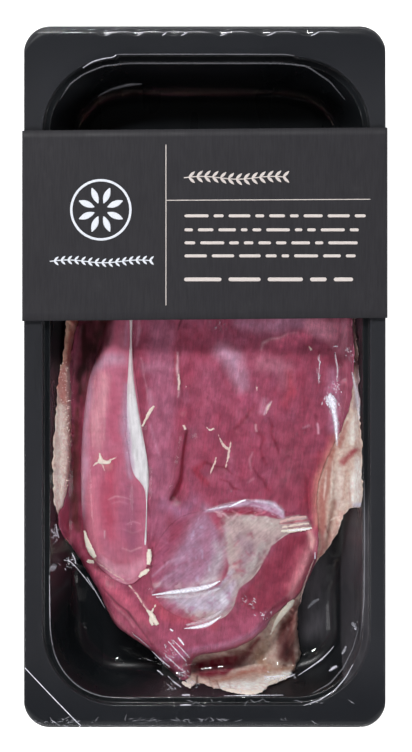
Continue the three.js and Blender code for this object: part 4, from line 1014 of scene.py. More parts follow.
def rounded_rectangle(half_x, half_y, radius, middle, z):
    """A loop with the same number of points whatever its size."""
    corners = []
    for k, sides in enumerate(((1, 1), (-1, 1), (-1, -1), (1, -1))):
        angles = np.pi / 2 * (k + np.linspace(0, 1, CORNER_STEPS + 1))
        centre = np.array(middle) + np.array(sides) * (half_x - radius, half_y - radius)
        corners.append(centre + radius * np.column_stack([np.cos(angles), np.sin(angles)]))
    loop = []
    for k, steps in enumerate((END_STEPS, SIDE_STEPS) * 2):
        shares = np.linspace(0, 1, steps + 1)[1:-1, None]
        loop += [corners[k], mix(corners[k][-1], corners[(k + 1) % 4][0], shares)]
    loop = np.vstack(loop)
    return np.column_stack([loop, np.full(len(loop), z)])


def cavity_loop(inset, z):
    radius = max(CAVITY_CORNER - inset, 1.5)
    loop = rounded_rectangle(CAVITY_HALF[0] - inset, CAVITY_HALF[1] - inset, radius, CAVITY_MIDDLE, z)
    loop[:, 1] -= notch(loop[:, 0], loop[:, 1])
    return loop


def rounded_corner(before, corner, after, size, steps):
    """Points on a curve that cuts a corner off."""
    before, corner, after = (np.array(p, float) for p in (before, corner, after))
    start = corner + (before - corner) * size / np.hypot(*(before - corner))
    end = corner + (after - corner) * size / np.hypot(*(after - corner))
    shares = np.linspace(0, 1, steps + 1)
    return [(1 - t) ** 2 * start + 2 * t * (1 - t) * corner + t * t * end for t in shares]


def softened(profile, radii):
    """A profile with its inner corners rounded off."""
    points = [profile[0]]
    for before, corner, after, radius in zip(profile, profile[1:], profile[2:], radii):
        points += rounded_corner(before, corner, after, radius, 4)
    return points + [profile[-1]]


def dents(x):
    """How far the scallops push in the flange's upper crease."""
    return sum(np.exp(-((x - at) / 1.5) ** 2) for at in SCALLOPS_X)


def edge_loops(lift, inset):
    """The flange's loops: flat, where its ends turn down, and its edge."""
    half_x, half_y = FLANGE_HALF[0] - inset, FLANGE_HALF[1] - inset
    radius = FLANGE_CORNER - inset
    loops = []
    for back, drop in LIP_PROFILE:
        loop = rounded_rectangle(half_x - back * 0.2, half_y - back, radius, (0, 0), RIM + lift)
        x, y = loop[:, 0].copy(), loop[:, 1].copy()
        at_end = ease(half_y - FLANGE_CORNER, half_y - 4, np.abs(y))
        upper = at_end * (y > 0)
        lower = at_end * (y < 0)
        if 0 < back < LIP_WIDTH + 0.5:
            loop[:, 1] -= upper * 0.9 * dents(x) * min(1, back / LIP_WIDTH)
            loop[:, 1] += lower * 0.25 * lumps(x, y, 3.0, 61) * min(1, back / LIP_WIDTH)
            loop[:, 2] -= upper * 0.25 * dents(x) * (drop < 0.3)
        loop[:, 2] -= drop * at_end
        loops.append(loop)
    return loops


def tray_shape():
    profile = softened(LINING, LINING_ROUNDS)
    inner = [cavity_loop(inset, z) for inset, z in profile]
    outer = [cavity_loop(inset - (WALL if z > FLOOR + 0.1 else 0), z - WALL) for inset, z in profile]
    upper, under = edge_loops(0, 0), edge_loops(-WALL, 0)
    return joined_loops(inner[::-1] + upper + under[::-1] + outer)


# The film: drawn down on what is under it, bridging what is too narrow for it


def shifted(values, axis, by):
    moved = np.roll(values, by, axis)
    edge = [slice(None), slice(None)]
    edge[axis] = slice(0, by) if by > 0 else slice(by, None)
    if by:
        moved[tuple(edge)] = values[tuple(edge)]
    return moved


def bridged(heights, radius, reach=9.0):
    """A surface that can't curve upwards more tightly than a radius."""
    steps = range(-int(reach / GRID_STEP), int(reach / GRID_STEP) + 1)
    for choose, sign in ((np.maximum, -1), (np.minimum, 1)):
        for axis in (0, 1):
            heights = [shifted(heights, axis, k) + sign * (k * GRID_STEP) ** 2 / (2 * radius) for k in steps]
            heights = choose.reduce(heights)
    return heights


def each_path(rows):
    return [(value, path) for value, *paths in rows for path in paths]


def bits_rise(x, y):
    """How far the bits of fat lift what lies on them."""
    rise = np.zeros(x.shape)
    for _, stroke in each_path(FAT_BITS):
        stroke = seen(stroke)
        near = near_stroke(stroke, 1, x, y)
        height = 0.35 * stroke[:, 2].max() * ease(0.4, -0.4, outside_stroke(stroke, x[near], y[near]))
        rise[near] = np.maximum(rise[near], height)
    return rise


SURFACES = {
    "skin": skin_top, "muscle": muscle_top, "fillet": fillet_top, "tendon": tendon_top,
    "silverskin": silverskin_top,
}


def contents_top(x, y):
    """The highest surface in the tray."""
    shape = x.shape
    x, y = x.ravel(), y.ravel()
    top = tray_top(x, y)
    for name, surface in SURFACES.items():
        inside = within(name, x, y) > -0.2
        top[inside] = np.maximum(top[inside], surface(x[inside], y[inside]))
    return (top + bits_rise(x, y)).reshape(shape)


FILM_BED = bridged(contents_top(GRID_X, GRID_Y), 4.0)
for _ in range(3):
    FILM_BED = (FILM_BED + sum(shifted(FILM_BED, a, k) for a in (0, 1) for k in (-1, 1))) / 5
FILM_PROFILE = np.array(softened(LINING, FILM_ROUNDS))


def film_wrinkles(x, y):
    waves = 0.035 * lumps(x, y, 4.5, 71) + 0.02 * lumps(x, y, 1.8, 72)
    return waves * ease(3, 9, inset_of(x, y))


def film_low(x, y):
    """The film keeps to the lining at the walls, except where meat lies against them."""
    inset = inset_of(x, y)
    lining = np.interp(inset, *FILM_PROFILE.T)
    free = np.maximum(ease(6, 9, inset), ease(-2.5, -0.5, within("skin", x, y)))
    return mix(lining, np.maximum(on_grid(FILM_BED, x, y), tray_top(x, y)), free) + GAP + film_wrinkles(x, y)


def lip_fall(y):
    """How far the film turns down with the flange's ends."""
    return 0.8 * LIP_DROP * ease(FLANGE_HALF[1] - LIP_WIDTH - 0.3, FLANGE_HALF[1] - 0.4, np.abs(y))


def film_shape():
    """Two sheets, one above the other, with close points where they are seen."""
    *flat, edge = edge_loops(0, FILM_INSET)
    outer = evenly(edge[:, :2], 1.1)
    rings = [cavity_loop(inset, 0) for inset in (*FILM_PROFILE[:, 0], 0.7, 2.2)] + flat
    sleeve_y = (SLEEVE_EDGE_Y + 2, SLEEVE_EDGE_Y + SLEEVE_LENGTH - 2)
    fine = lattice((-48, -108), (50, 108), 0.72)
    hidden = (fine[1] > sleeve_y[0]) & (fine[1] < sleeve_y[1])
    keep = (inset_of(*fine) > 15.5) & ~hidden
    coarse = lattice((-48, sleeve_y[0]), (50, sleeve_y[1]), COARSE_SPACING)
    inner = inset_of(*coarse) > 16.5
    rings = np.vstack(rings)
    x, y = (np.concatenate([fine[k][keep], coarse[k][inner], rings[:, k]]) for k in (0, 1))
    places, triangles = triangulated(outer, x, y)
    x, y = places.T
    low = film_low(x, y) - lip_fall(y) - 0.3 * dents(x) * ease(122, 123.6, y)
    sheet = np.column_stack([places, low])
    return closed_sheet(sheet + (0, 0, FILM_THICKNESS), triangles, sheet, triangles, len(outer))


# Materials


class Shade:
    """A value in a node tree; sums and products of it add Math nodes."""

    def __init__(self, nodes, socket):
        self.nodes, self.socket = nodes, socket

    def maths(self, operation, *values):
        return self.nodes.add("ShaderNodeMath", {"operation": operation}, dict(enumerate(values)))

    def __add__(self, other):
        return self.maths("ADD", self, other)

    def __sub__(self, other):
        return self.maths("SUBTRACT", self, other)

    def __rsub__(self, other):
        return self.maths("SUBTRACT", other, self)

    def __mul__(self, other):
        return self.maths("MULTIPLY", self, other)

    def __truediv__(self, other):
        return self.maths("DIVIDE", self, other)

    def __pow__(self, other):
        return self.maths("POWER", self, other)

    __radd__ = __add__
    __rmul__ = __mul__


class Nodes:
    """A node tree."""

    def __init__(self, tree):
        self.tree = tree

    def add(self, kind, settings=(), sockets=(), output=0):
        """Any node: its settings first, then the values or links of its sockets."""
        node = self.tree.nodes.new(kind)
        for name, value in dict(settings).items():
            setattr(node, name, value)
        for name, value in dict(sockets).items():
            if isinstance(value, Shade):
                self.tree.links.new(value.socket, node.inputs[name])
            else:
                node.inputs[name].default_value = value
        return Shade(self, node.outputs[output]) if len(node.outputs) else None


def rgba(colour):
    return (*linear(colour), 1)


def dressed(name, look, *values, **options):
    """A material with the shader that a function makes in its tree."""
    material = bpy.data.materials.new(name)
    material.use_nodes = True
    material.node_tree.nodes.clear()
    tree = Nodes(material.node_tree)
    tree.add("ShaderNodeOutputMaterial", {}, {"Surface": look(tree, *values, **options)})
    return material


def place(tree):
    return tree.add("ShaderNodeTexCoord", output="Object")


def scaled(tree, vector, factors):
    return tree.add("ShaderNodeVectorMath", {"operation": "MULTIPLY"}, {0: vector, 1: factors})


def part_of(tree, vector, axis):
    return tree.add("ShaderNodeSeparateXYZ", {}, {0: vector}, axis)


def kept_value(tree, name, output="Fac"):
    """What a mesh keeps at its points."""
    return tree.add("ShaderNodeAttribute", {"attribute_name": name}, output=output)


def noise(tree, vector, scale, detail=2, roughness=0.5):
    sockets = {"Vector": vector, "Scale": scale, "Detail": detail, "Roughness": roughness}
    return tree.add("ShaderNodeTexNoise", {}, sockets)


def spread(tree, value, low, high, to_low=0.0, to_high=1.0):
    sockets = {"Value": value, "From Min": low, "From Max": high, "To Min": to_low, "To Max": to_high}
    return tree.add("ShaderNodeMapRange", {"interpolation_type": "SMOOTHSTEP"}, sockets)


def clamped(tree, value):
    return tree.add("ShaderNodeClamp", {}, {"Value": value})


def blend(tree, factor, first, second, way="MIX"):
    settings = {"data_type": "RGBA", "blend_type": way}
    return tree.add("ShaderNodeMix", settings, {0: factor, 6: first, 7: second}, 2)


def bump(tree, height, distance, strength=1.0):
    return tree.add("ShaderNodeBump", {}, {"Height": height, "Distance": distance, "Strength": strength})


def principled(tree, sockets):
    return tree.add("ShaderNodeBsdfPrincipled", {}, sockets)


def flesh_look(tree, fibre, roughness, subsurface=0.0, mottle=0.12, shine=0.5):
    """Wet flesh: its own painted colour, broken up along the fibres."""
    tint = kept_value(tree, "flesh", "Color")
    grain = kept_value(tree, "grain", "Vector")
    strands = noise(tree, scaled(tree, grain, (1.6, 0.16, 1)), 1.0, 3, 0.6)
    fine = noise(tree, scaled(tree, grain, (4.5, 0.6, 1)), 1.0, 2, 0.6)
    clouds = noise(tree, place(tree), 260, 3, 0.55)
    light = spread(tree, strands * 0.6 + fine * 0.4, 0.35, 0.65, 1 - fibre, 1 + fibre)
    cloudy = spread(tree, clouds, 0.35, 0.65, 1 - mottle, 1 + mottle)
    shade = tree.add("ShaderNodeCombineColor", {}, {0: light * cloudy, 1: light * cloudy, 2: light * cloudy})
    colour = blend(tree, 1.0, tint, shade, "MULTIPLY")
    height = bump(tree, strands * 0.5 + fine * 0.3 + clouds * 0.4, 0.0003, 0.5)
    return principled(tree, {
        "Base Color": colour, "Roughness": spread(tree, clouds, 0.3, 0.7, roughness - 0.06, roughness + 0.08),
        "Normal": height, "Subsurface Weight": subsurface, "Subsurface Radius": (1.0, 0.35, 0.25),
        "Subsurface Scale": 0.0015, "Specular IOR Level": shine,
    })


def skin_look(tree):
    tint = kept_value(tree, "flesh", "Color")
    sockets = {"Vector": place(tree), "Scale": 900}
    pores = tree.add("ShaderNodeTexVoronoi", {"feature": "SMOOTH_F1"}, sockets, "Distance")
    clouds = noise(tree, place(tree), 420, 3, 0.6)
    shade = spread(tree, clouds * 0.6 + pores * 0.5, 0.3, 0.8, 1.06, 0.86)
    grey = tree.add("ShaderNodeCombineColor", {}, {0: shade, 1: shade * shade, 2: shade * shade})
    return principled(tree, {
        "Base Color": blend(tree, 1.0, tint, grey, "MULTIPLY"),
        "Roughness": spread(tree, clouds, 0.3, 0.7, 0.36, 0.52),
        "Normal": bump(tree, clouds - pores * 0.6, 0.0005, 0.6),
        "Subsurface Weight": 0.12, "Subsurface Radius": (1.0, 0.6, 0.4), "Subsurface Scale": 0.0012,
    })


def fat_look(tree):
    """Fat and sinew: cream, and pinker by its strength."""
    pink = kept_value(tree, "strength")
    clouds = noise(tree, place(tree), 700, 3, 0.6)
    pinkness = clamped(tree, pink + 0.5 * clouds - 0.25)
    colour = blend(tree, pinkness, rgba((255, 243, 228)), rgba((222, 160, 168)))
    return principled(tree, {
        "Base Color": colour, "Roughness": spread(tree, clouds, 0.3, 0.7, 0.3, 0.45),
        "Normal": bump(tree, clouds, 0.0003, 0.5),
        "Subsurface Weight": 0.15, "Subsurface Radius": (1.0, 0.6, 0.5), "Subsurface Scale": 0.001,
    })


def tray_look(tree):
    """Black plastic: satin on the flange, glossy in the cavity, with faint flow marks, a painted grey
    reflection low in the cavity and painted shade at its upper end.
    """
    inside = kept_value(tree, "in_cavity")
    middle = part_of(tree, place(tree), "X")
    length = part_of(tree, place(tree), "Y")
    flow = noise(tree, scaled(tree, place(tree), (60, 12, 60)), 1.0, 3, 0.5)
    grain = noise(tree, place(tree), 2600, 2, 0.5)
    blotches = noise(tree, scaled(tree, place(tree), (300, 80, 40)), 1.0, 3, 0.6)
    flange = blend(tree, spread(tree, flow, 0.3, 0.7), rgba((43, 44, 48)), rgba((48, 49, 54)))
    ends = spread(tree, length.maths("ABSOLUTE", length), 0.095, 0.122)
    flange = blend(tree, ends * 0.9, flange, rgba((31, 33, 38)))
    cavity = blend(tree, spread(tree, flow, 0.3, 0.7), rgba((20, 23, 26)), rgba((29, 31, 34)))
    # Painted reflection: a grey haze on the right of the floor and on the right wall, in the lower part of
    # the cavity, broken up by noise.
    lower_end = spread(tree, length, -0.035, -0.06)
    on_floor = spread(tree, middle, 0.022, 0.04) * spread(tree, middle, 0.0492, 0.04)
    on_floor = on_floor * spread(tree, length, -0.101, -0.092)
    on_wall = 0.55 * spread(tree, middle, 0.0495, 0.0502)
    haze = (on_floor + on_wall) * lower_end * spread(tree, blotches, 0.2, 0.75, 0.4, 1.0)
    cavity = blend(tree, haze, cavity, rgba((98, 95, 101)))
    # Painted shade: the cavity's upper wall is darkened near black.
    cavity = blend(tree, spread(tree, length, 0.104, 0.11, 0, 0.8), cavity, rgba((6, 6, 8)))
    return principled(tree, {
        "Base Color": blend(tree, inside, flange, cavity),
        "Roughness": spread(tree, inside, 0, 1, 0.4, 0.24) + 0.08 * flow,
        "Specular IOR Level": 0.26,
        "Normal": bump(tree, grain, 0.00003, 0.3),
    })


def film_look(tree):
    """Clear film: seen through, with gloss that grows at a slant."""
    facing = tree.add("ShaderNodeLayerWeight", {}, {"Blend": 0.5}, "Facing")
    ripple = noise(tree, place(tree), 900, 2, 0.5)
    normal = bump(tree, ripple, 0.00006, 0.5)
    clear = tree.add("ShaderNodeBsdfTransparent", {}, {"Color": (0.985, 0.985, 0.985, 1)})
    gloss = tree.add("ShaderNodeBsdfGlossy", {}, {"Roughness": 0.06, "Normal": normal})
    share = 0.022 + (facing ** 5) * 0.3
    return tree.add("ShaderNodeMixShader", {}, {0: share, 1: clear, 2: gloss})


def film_glint_look(tree):
    """Painted highlights on the film: white and shiny with a slight glow, and clear again towards the sides.
    """
    cloud = noise(tree, place(tree), 1500, 2, 0.5)
    across = kept_value(tree, "share")
    strength = kept_value(tree, "strength")
    clear = tree.add("ShaderNodeBsdfTransparent")
    white = principled(tree, {
        "Base Color": rgba((240, 240, 250)), "Roughness": spread(tree, cloud, 0.3, 0.7, 0.2, 0.4),
        "Emission Color": rgba((230, 232, 250)), "Emission Strength": 0.12,
    })
    cover = strength * spread(tree, across, 0.0, 1.0) * spread(tree, cloud, 0.25, 0.65, 0.4, 0.9)
    return tree.add("ShaderNodeMixShader", {}, {0: cover, 1: clear, 2: white})


def card_look(tree):
    """Printed card: dark grey, with a fine up-and-down grain and slight scuffs."""
    streaks = noise(tree, scaled(tree, place(tree), (2200, 160, 2200)), 1.0, 2, 0.6)
    scuffs = noise(tree, place(tree), 90, 4, 0.6)
    body = blend(tree, spread(tree, streaks, 0.3, 0.7), rgba((44, 43, 47)), rgba((50, 49, 53)))
    blotches = spread(tree, scuffs, 0.62, 0.8, 0.0, 0.16)
    return principled(tree, {
        "Base Color": blend(tree, blotches, body, rgba((80, 78, 82))),
        "Roughness": spread(tree, scuffs, 0.3, 0.7, 0.5, 0.62), "Specular IOR Level": 0.25,
        "Normal": bump(tree, streaks, 0.00003, 0.25),
    })


def ink_look(tree, colour):
    patchy = noise(tree, place(tree), 1800, 2, 0.6)
    blotches = spread(tree, patchy, 0.35, 0.7, 0, 0.12)
    return principled(tree, {
        "Base Color": blend(tree, blotches, rgba(colour), rgba((150, 145, 145))),
        "Roughness": spread(tree, patchy, 0.3, 0.7, 0.4, 0.5),
    })


def floor_look(tree):
    cloud = noise(tree, place(tree), 3, 2, 0.5)
    return principled(tree, {
        "Base Color": blend(tree, cloud, (0.9, 0.9, 0.9, 1), (0.93, 0.93, 0.93, 1)),
        "Roughness": 0.8, "Emission Color": (1, 1, 1, 1), "Emission Strength": 0.85,
    })


MEAT = dressed("raw_meat", flesh_look, 0.15, 0.42, subsurface=0.1, mottle=0.15)
FILLET = dressed("raw_fillet", flesh_look, 0.08, 0.38, subsurface=0.1, mottle=0.06)
TENDON = dressed("tendon", flesh_look, 0.05, 0.34, mottle=0.05)
SILVERSKIN = dressed("silverskin", flesh_look, 0.12, 0.34, mottle=0.08)
SKIN = dressed("skin_and_fat", skin_look)
FAT = dressed("fat", fat_look)
TRAY = dressed("tray_plastic", tray_look)
FILM = dressed("clear_film", film_look)
# The look of the painted highlights on the film
FILM_GLINT = dressed("film_fold", film_glint_look)
CARD_FACE = dressed("sleeve_card", card_look)
CREAM_INK = dressed("cream_ink", ink_look, (224, 214, 210))
WHITE_INK = dressed("white_ink", ink_look, (238, 242, 252))


# Geometry Nodes: what repeats or follows a path


def grown(name, source, build, material, values=()):
    """The plain mesh that a node tree makes of a source mesh. values are the tree's named inputs."""
    group = bpy.data.node_groups.new(name, "GeometryNodeTree")
    group.interface.new_socket("Geometry", in_out="INPUT", socket_type="NodeSocketGeometry")
    group.interface.new_socket("Geometry", in_out="OUTPUT", socket_type="NodeSocketGeometry")
    sockets = {}
    for label, value in dict(values).items():
        kind = "NodeSocketInt" if isinstance(value, int) else "NodeSocketFloat"
        sockets[label] = group.interface.new_socket(label, in_out="INPUT", socket_type=kind)
    tree = Nodes(group)
    entry = group.nodes.new("NodeGroupInput")
    inputs = {socket.name: Shade(tree, socket) for socket in entry.outputs if socket.name}
    made = build(tree, inputs)
    solid = tree.add("GeometryNodeRealizeInstances", {}, {"Geometry": made})
    dressed = tree.add("GeometryNodeSetMaterial", {}, {"Geometry": solid, "Material": material})
    tree.add("NodeGroupOutput", {}, {0: dressed})
    carrier = bpy.data.objects.new(name, source)
    bpy.context.scene.collection.objects.link(carrier)
    modifier = carrier.modifiers.new("grow", "NODES")
    modifier.node_group = group
    for label, value in dict(values).items():
        modifier[sockets[label].identifier] = value
    bpy.context.view_layer.update()
    mesh = bpy.data.meshes.new_from_object(carrier.evaluated_get(bpy.context.evaluated_depsgraph_get()))
    carrier.modifiers.remove(modifier)
    carrier.data = mesh
    mesh.name = name
    mesh.polygons.foreach_set("use_smooth", [True] * len(mesh.polygons))
    return carrier


def keep_value(mesh, name, values):
    mesh.attributes.new(name, "FLOAT", "POINT").data.foreach_set("value", values)


def path_mesh(name, paths, strengths=None):
    """Open paths as edges, each point with a radius, all in millimetres; a path may have a strength."""
    vertices, edges, radii = [], [], []
    for path in paths:
        first = len(vertices)
        vertices += [Vector(p[:3]) * MM for p in path]
        radii += [p[3] * MM for p in path]
        edges += [(first + i, first + i + 1) for i in range(len(path) - 1)]
    mesh = bpy.data.meshes.new(name)
    mesh.from_pydata(vertices, edges, [])
    keep_value(mesh, "radius_here", radii)
    if strengths:
        keep_value(mesh, "strength", [strength for strength, path in zip(strengths, paths) for _ in path])
    return mesh


def ring_of(tree, inputs):
    return tree.add("GeometryNodeCurvePrimitiveCircle", {}, {"Resolution": inputs["Sides"], "Radius": 1.0})


def flattened(tree, inputs, ring):
    squash = tree.add("ShaderNodeCombineXYZ", {}, {"X": 1.0, "Y": inputs["Flatness"], "Z": 1.0})
    return tree.add("GeometryNodeTransform", {}, {"Geometry": ring, "Scale": squash})


def swept(tree, inputs, ring, upright=True):
    """A ring drawn along the source's paths, as large as the radius at each point."""
    curve = tree.add("GeometryNodeMeshToCurve", {}, {"Mesh": inputs["Geometry"]})
    if upright:
        curve = tree.add("GeometryNodeSetCurveNormal", {"mode": "Z_UP"}, {"Curve": curve})
    radius = tree.add("GeometryNodeInputNamedAttribute", {"data_type": "FLOAT"}, {"Name": "radius_here"})
    sockets = {"Curve": curve, "Profile Curve": ring, "Fill Caps": True, "Scale": radius}
    return tree.add("GeometryNodeCurveToMesh", {}, sockets)


def build_ridges(tree, inputs):
    """Round strands along paths, flattened and set on a plane."""
    strand = swept(tree, inputs, ring_of(tree, inputs), upright=False)
    squash = tree.add("ShaderNodeCombineXYZ", {}, {"X": 1.0, "Y": 1.0, "Z": inputs["Flatness"]})
    lift = tree.add("ShaderNodeCombineXYZ", {}, {"X": 0.0, "Y": 0.0, "Z": inputs["Height"]})
    return tree.add("GeometryNodeTransform", {}, {"Geometry": strand, "Scale": squash, "Translation": lift})


def build_bits(tree, inputs):
    """Knobbly strands along paths, flattened."""
    strand = swept(tree, inputs, flattened(tree, inputs, ring_of(tree, inputs)))
    cloud = noise(tree, tree.add("GeometryNodeInputPosition"), 1100, 2, 0.6)
    push = scaled(tree, tree.add("GeometryNodeInputNormal"), (cloud - 0.5) * inputs["Lumpiness"])
    return tree.add("GeometryNodeSetPosition", {}, {"Geometry": strand, "Offset": push})


def build_glints(tree, inputs):
    """Flat ribbons along paths; their share is 1 along the middle and 0 at the sides."""
    sideways = part_of(tree, tree.add("GeometryNodeInputPosition"), "X")
    share = 1 - sideways.maths("ABSOLUTE", sideways)
    sockets = {"Geometry": ring_of(tree, inputs), "Name": "share", "Value": share}
    ring = tree.add("GeometryNodeStoreNamedAttribute", {"data_type": "FLOAT", "domain": "POINT"}, sockets)
    return swept(tree, inputs, flattened(tree, inputs, ring))


def smooth_path(points, spacing=0.5):
    """A path's points again, evenly apart, on a smooth line."""
    points = np.array(points, float)
    lengths = np.concatenate([[0], np.cumsum(np.hypot(*np.diff(points[:, :2], axis=0).T))])
    at = np.linspace(0, lengths[-1], max(5, int(lengths[-1] / spacing) + 1))
    path = np.stack([np.interp(at, lengths, points[:, k]) for k in range(points.shape[1])], axis=1)
    for _ in range(min(8, len(path) // 4)):
        path[1:-1] = (path[:-2] + 2 * path[1:-1] + path[2:]) / 4
    return path


def ride(piece, slot, *nodes):
    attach(piece, "root")
    if nodes:
        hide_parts(*nodes)


# Pieces



def in_sight(x, y):
    return y < SLEEVE_EDGE_Y + 2


tray = mesh_object("tray_shell", *tray_shape(), TRAY)
places = np.array([v.co for v in tray.data.vertices]) / MM
inside = ease(0.0, 0.7, inset_of(places[:, 0], places[:, 1]))
keep_value(tray.data, "in_cavity", inside)
ride(tray, "tray_plastic", "tray")

skin = layer(
    "skin_layer", OUTLINES["skin"], 0.45, lambda x, y: in_sight(x, y) & (within("muscle", x, y) < 2),
    skin_top, skin_bottom, SKIN, skin_colours, ragged=0.45,
)
ride(skin, "skin_and_fat", "skin_and_fat")

muscle = layer(
    "main_muscle", OUTLINES["muscle"], 0.48, lambda x, y: in_sight(x, y) & (within("fillet", x, y) < 3),
    muscle_top, muscle_bottom, MEAT, muscle_colours, turned(MUSCLE_GRAIN), ragged=0.25,
)
ride(muscle, "raw_meat", "breast_muscle")

fillet = layer(
    "fillet_lobe", OUTLINES["fillet"], 0.42, in_sight, fillet_top, fillet_bottom,
    FILLET, fillet_colours, turned(FILLET_GRAIN),
)
ride(fillet, "raw_fillet", "inner_fillet")

tendon = layer(
    "fillet_tendon", OUTLINES["tendon"], 0.35, in_sight, tendon_top, tendon_bottom,
    TENDON, tendon_colours, turned(5),
)
ride(tendon, "tendon", "tendon")

silverskin = layer(
    "silverskin_sheet", OUTLINES["silverskin"], 0.4, in_sight, silverskin_top, silverskin_bottom,
    SILVERSKIN, silverskin_colours, turned(-48),
)
ride(silverskin, "silverskin", "silverskin")

film = mesh_object("clear_film_sheet", *film_shape(), FILM)
ride(film, "clear_film", "film")

# Bits of fat and sinew


def draped(piece, surface, lift=0.0):
    """Sets a flat piece on a surface."""
    count = len(piece.data.vertices)
    points = np.empty(count * 3)
    piece.data.vertices.foreach_get("co", points)
    points = points.reshape(count, 3) / MM
    points[:, 2] += surface(points[:, 0], points[:, 1]) + lift
    piece.data.vertices.foreach_set("co", (points * MM).ravel())
    piece.data.update()


def cluster(middle, reach, angle, count, length, order):
    """Short strokes scattered about a place, most of them near one angle."""
    strokes = []
    for _ in range(count):
        x, y = np.array(middle) + order.normal(0, 0.5, 2) * reach
        turn = np.radians(angle + order.normal(0, 32))
        half = 0.5 * length * order.uniform(0.4, 1.2)
        dx, dy = half * np.cos(turn), half * np.sin(turn)
        bend_x, bend_y = order.normal(0, 0.25 * half, 2)
        radius = order.uniform(0.5, 1.0)
        strokes.append([(x - dx, y - dy, 0.2), (x + bend_x, y + bend_y, radius), (x + dx, y + dy, 0.2)])
    return strokes


papilla_order = np.random.default_rng(83)
bits = each_path(FAT_BITS)
for middle in PAPILLAE:
    for stroke in cluster(middle, (5, 12), 90, 16, 1.2, papilla_order):
        bits.append((papilla_order.uniform(0, 0.7), [(x - 1.5, y, 0.9 * r) for x, y, r in stroke]))
level_paths = [np.insert(smooth_path(seen(stroke), 0.35), 2, 0, axis=1) for _, stroke in bits]
bit_paths = path_mesh("bit_paths", level_paths, [pink for pink, _ in bits])
fat_bits = grown("fat_bits", bit_paths, build_bits, FAT, {"Sides": 10, "Flatness": 0.35, "Lumpiness": 0.0011})
draped(fat_bits, lambda x, y: on_grid(FILM_BED, x, y), -0.1)
ride(fat_bits, "silverskin")
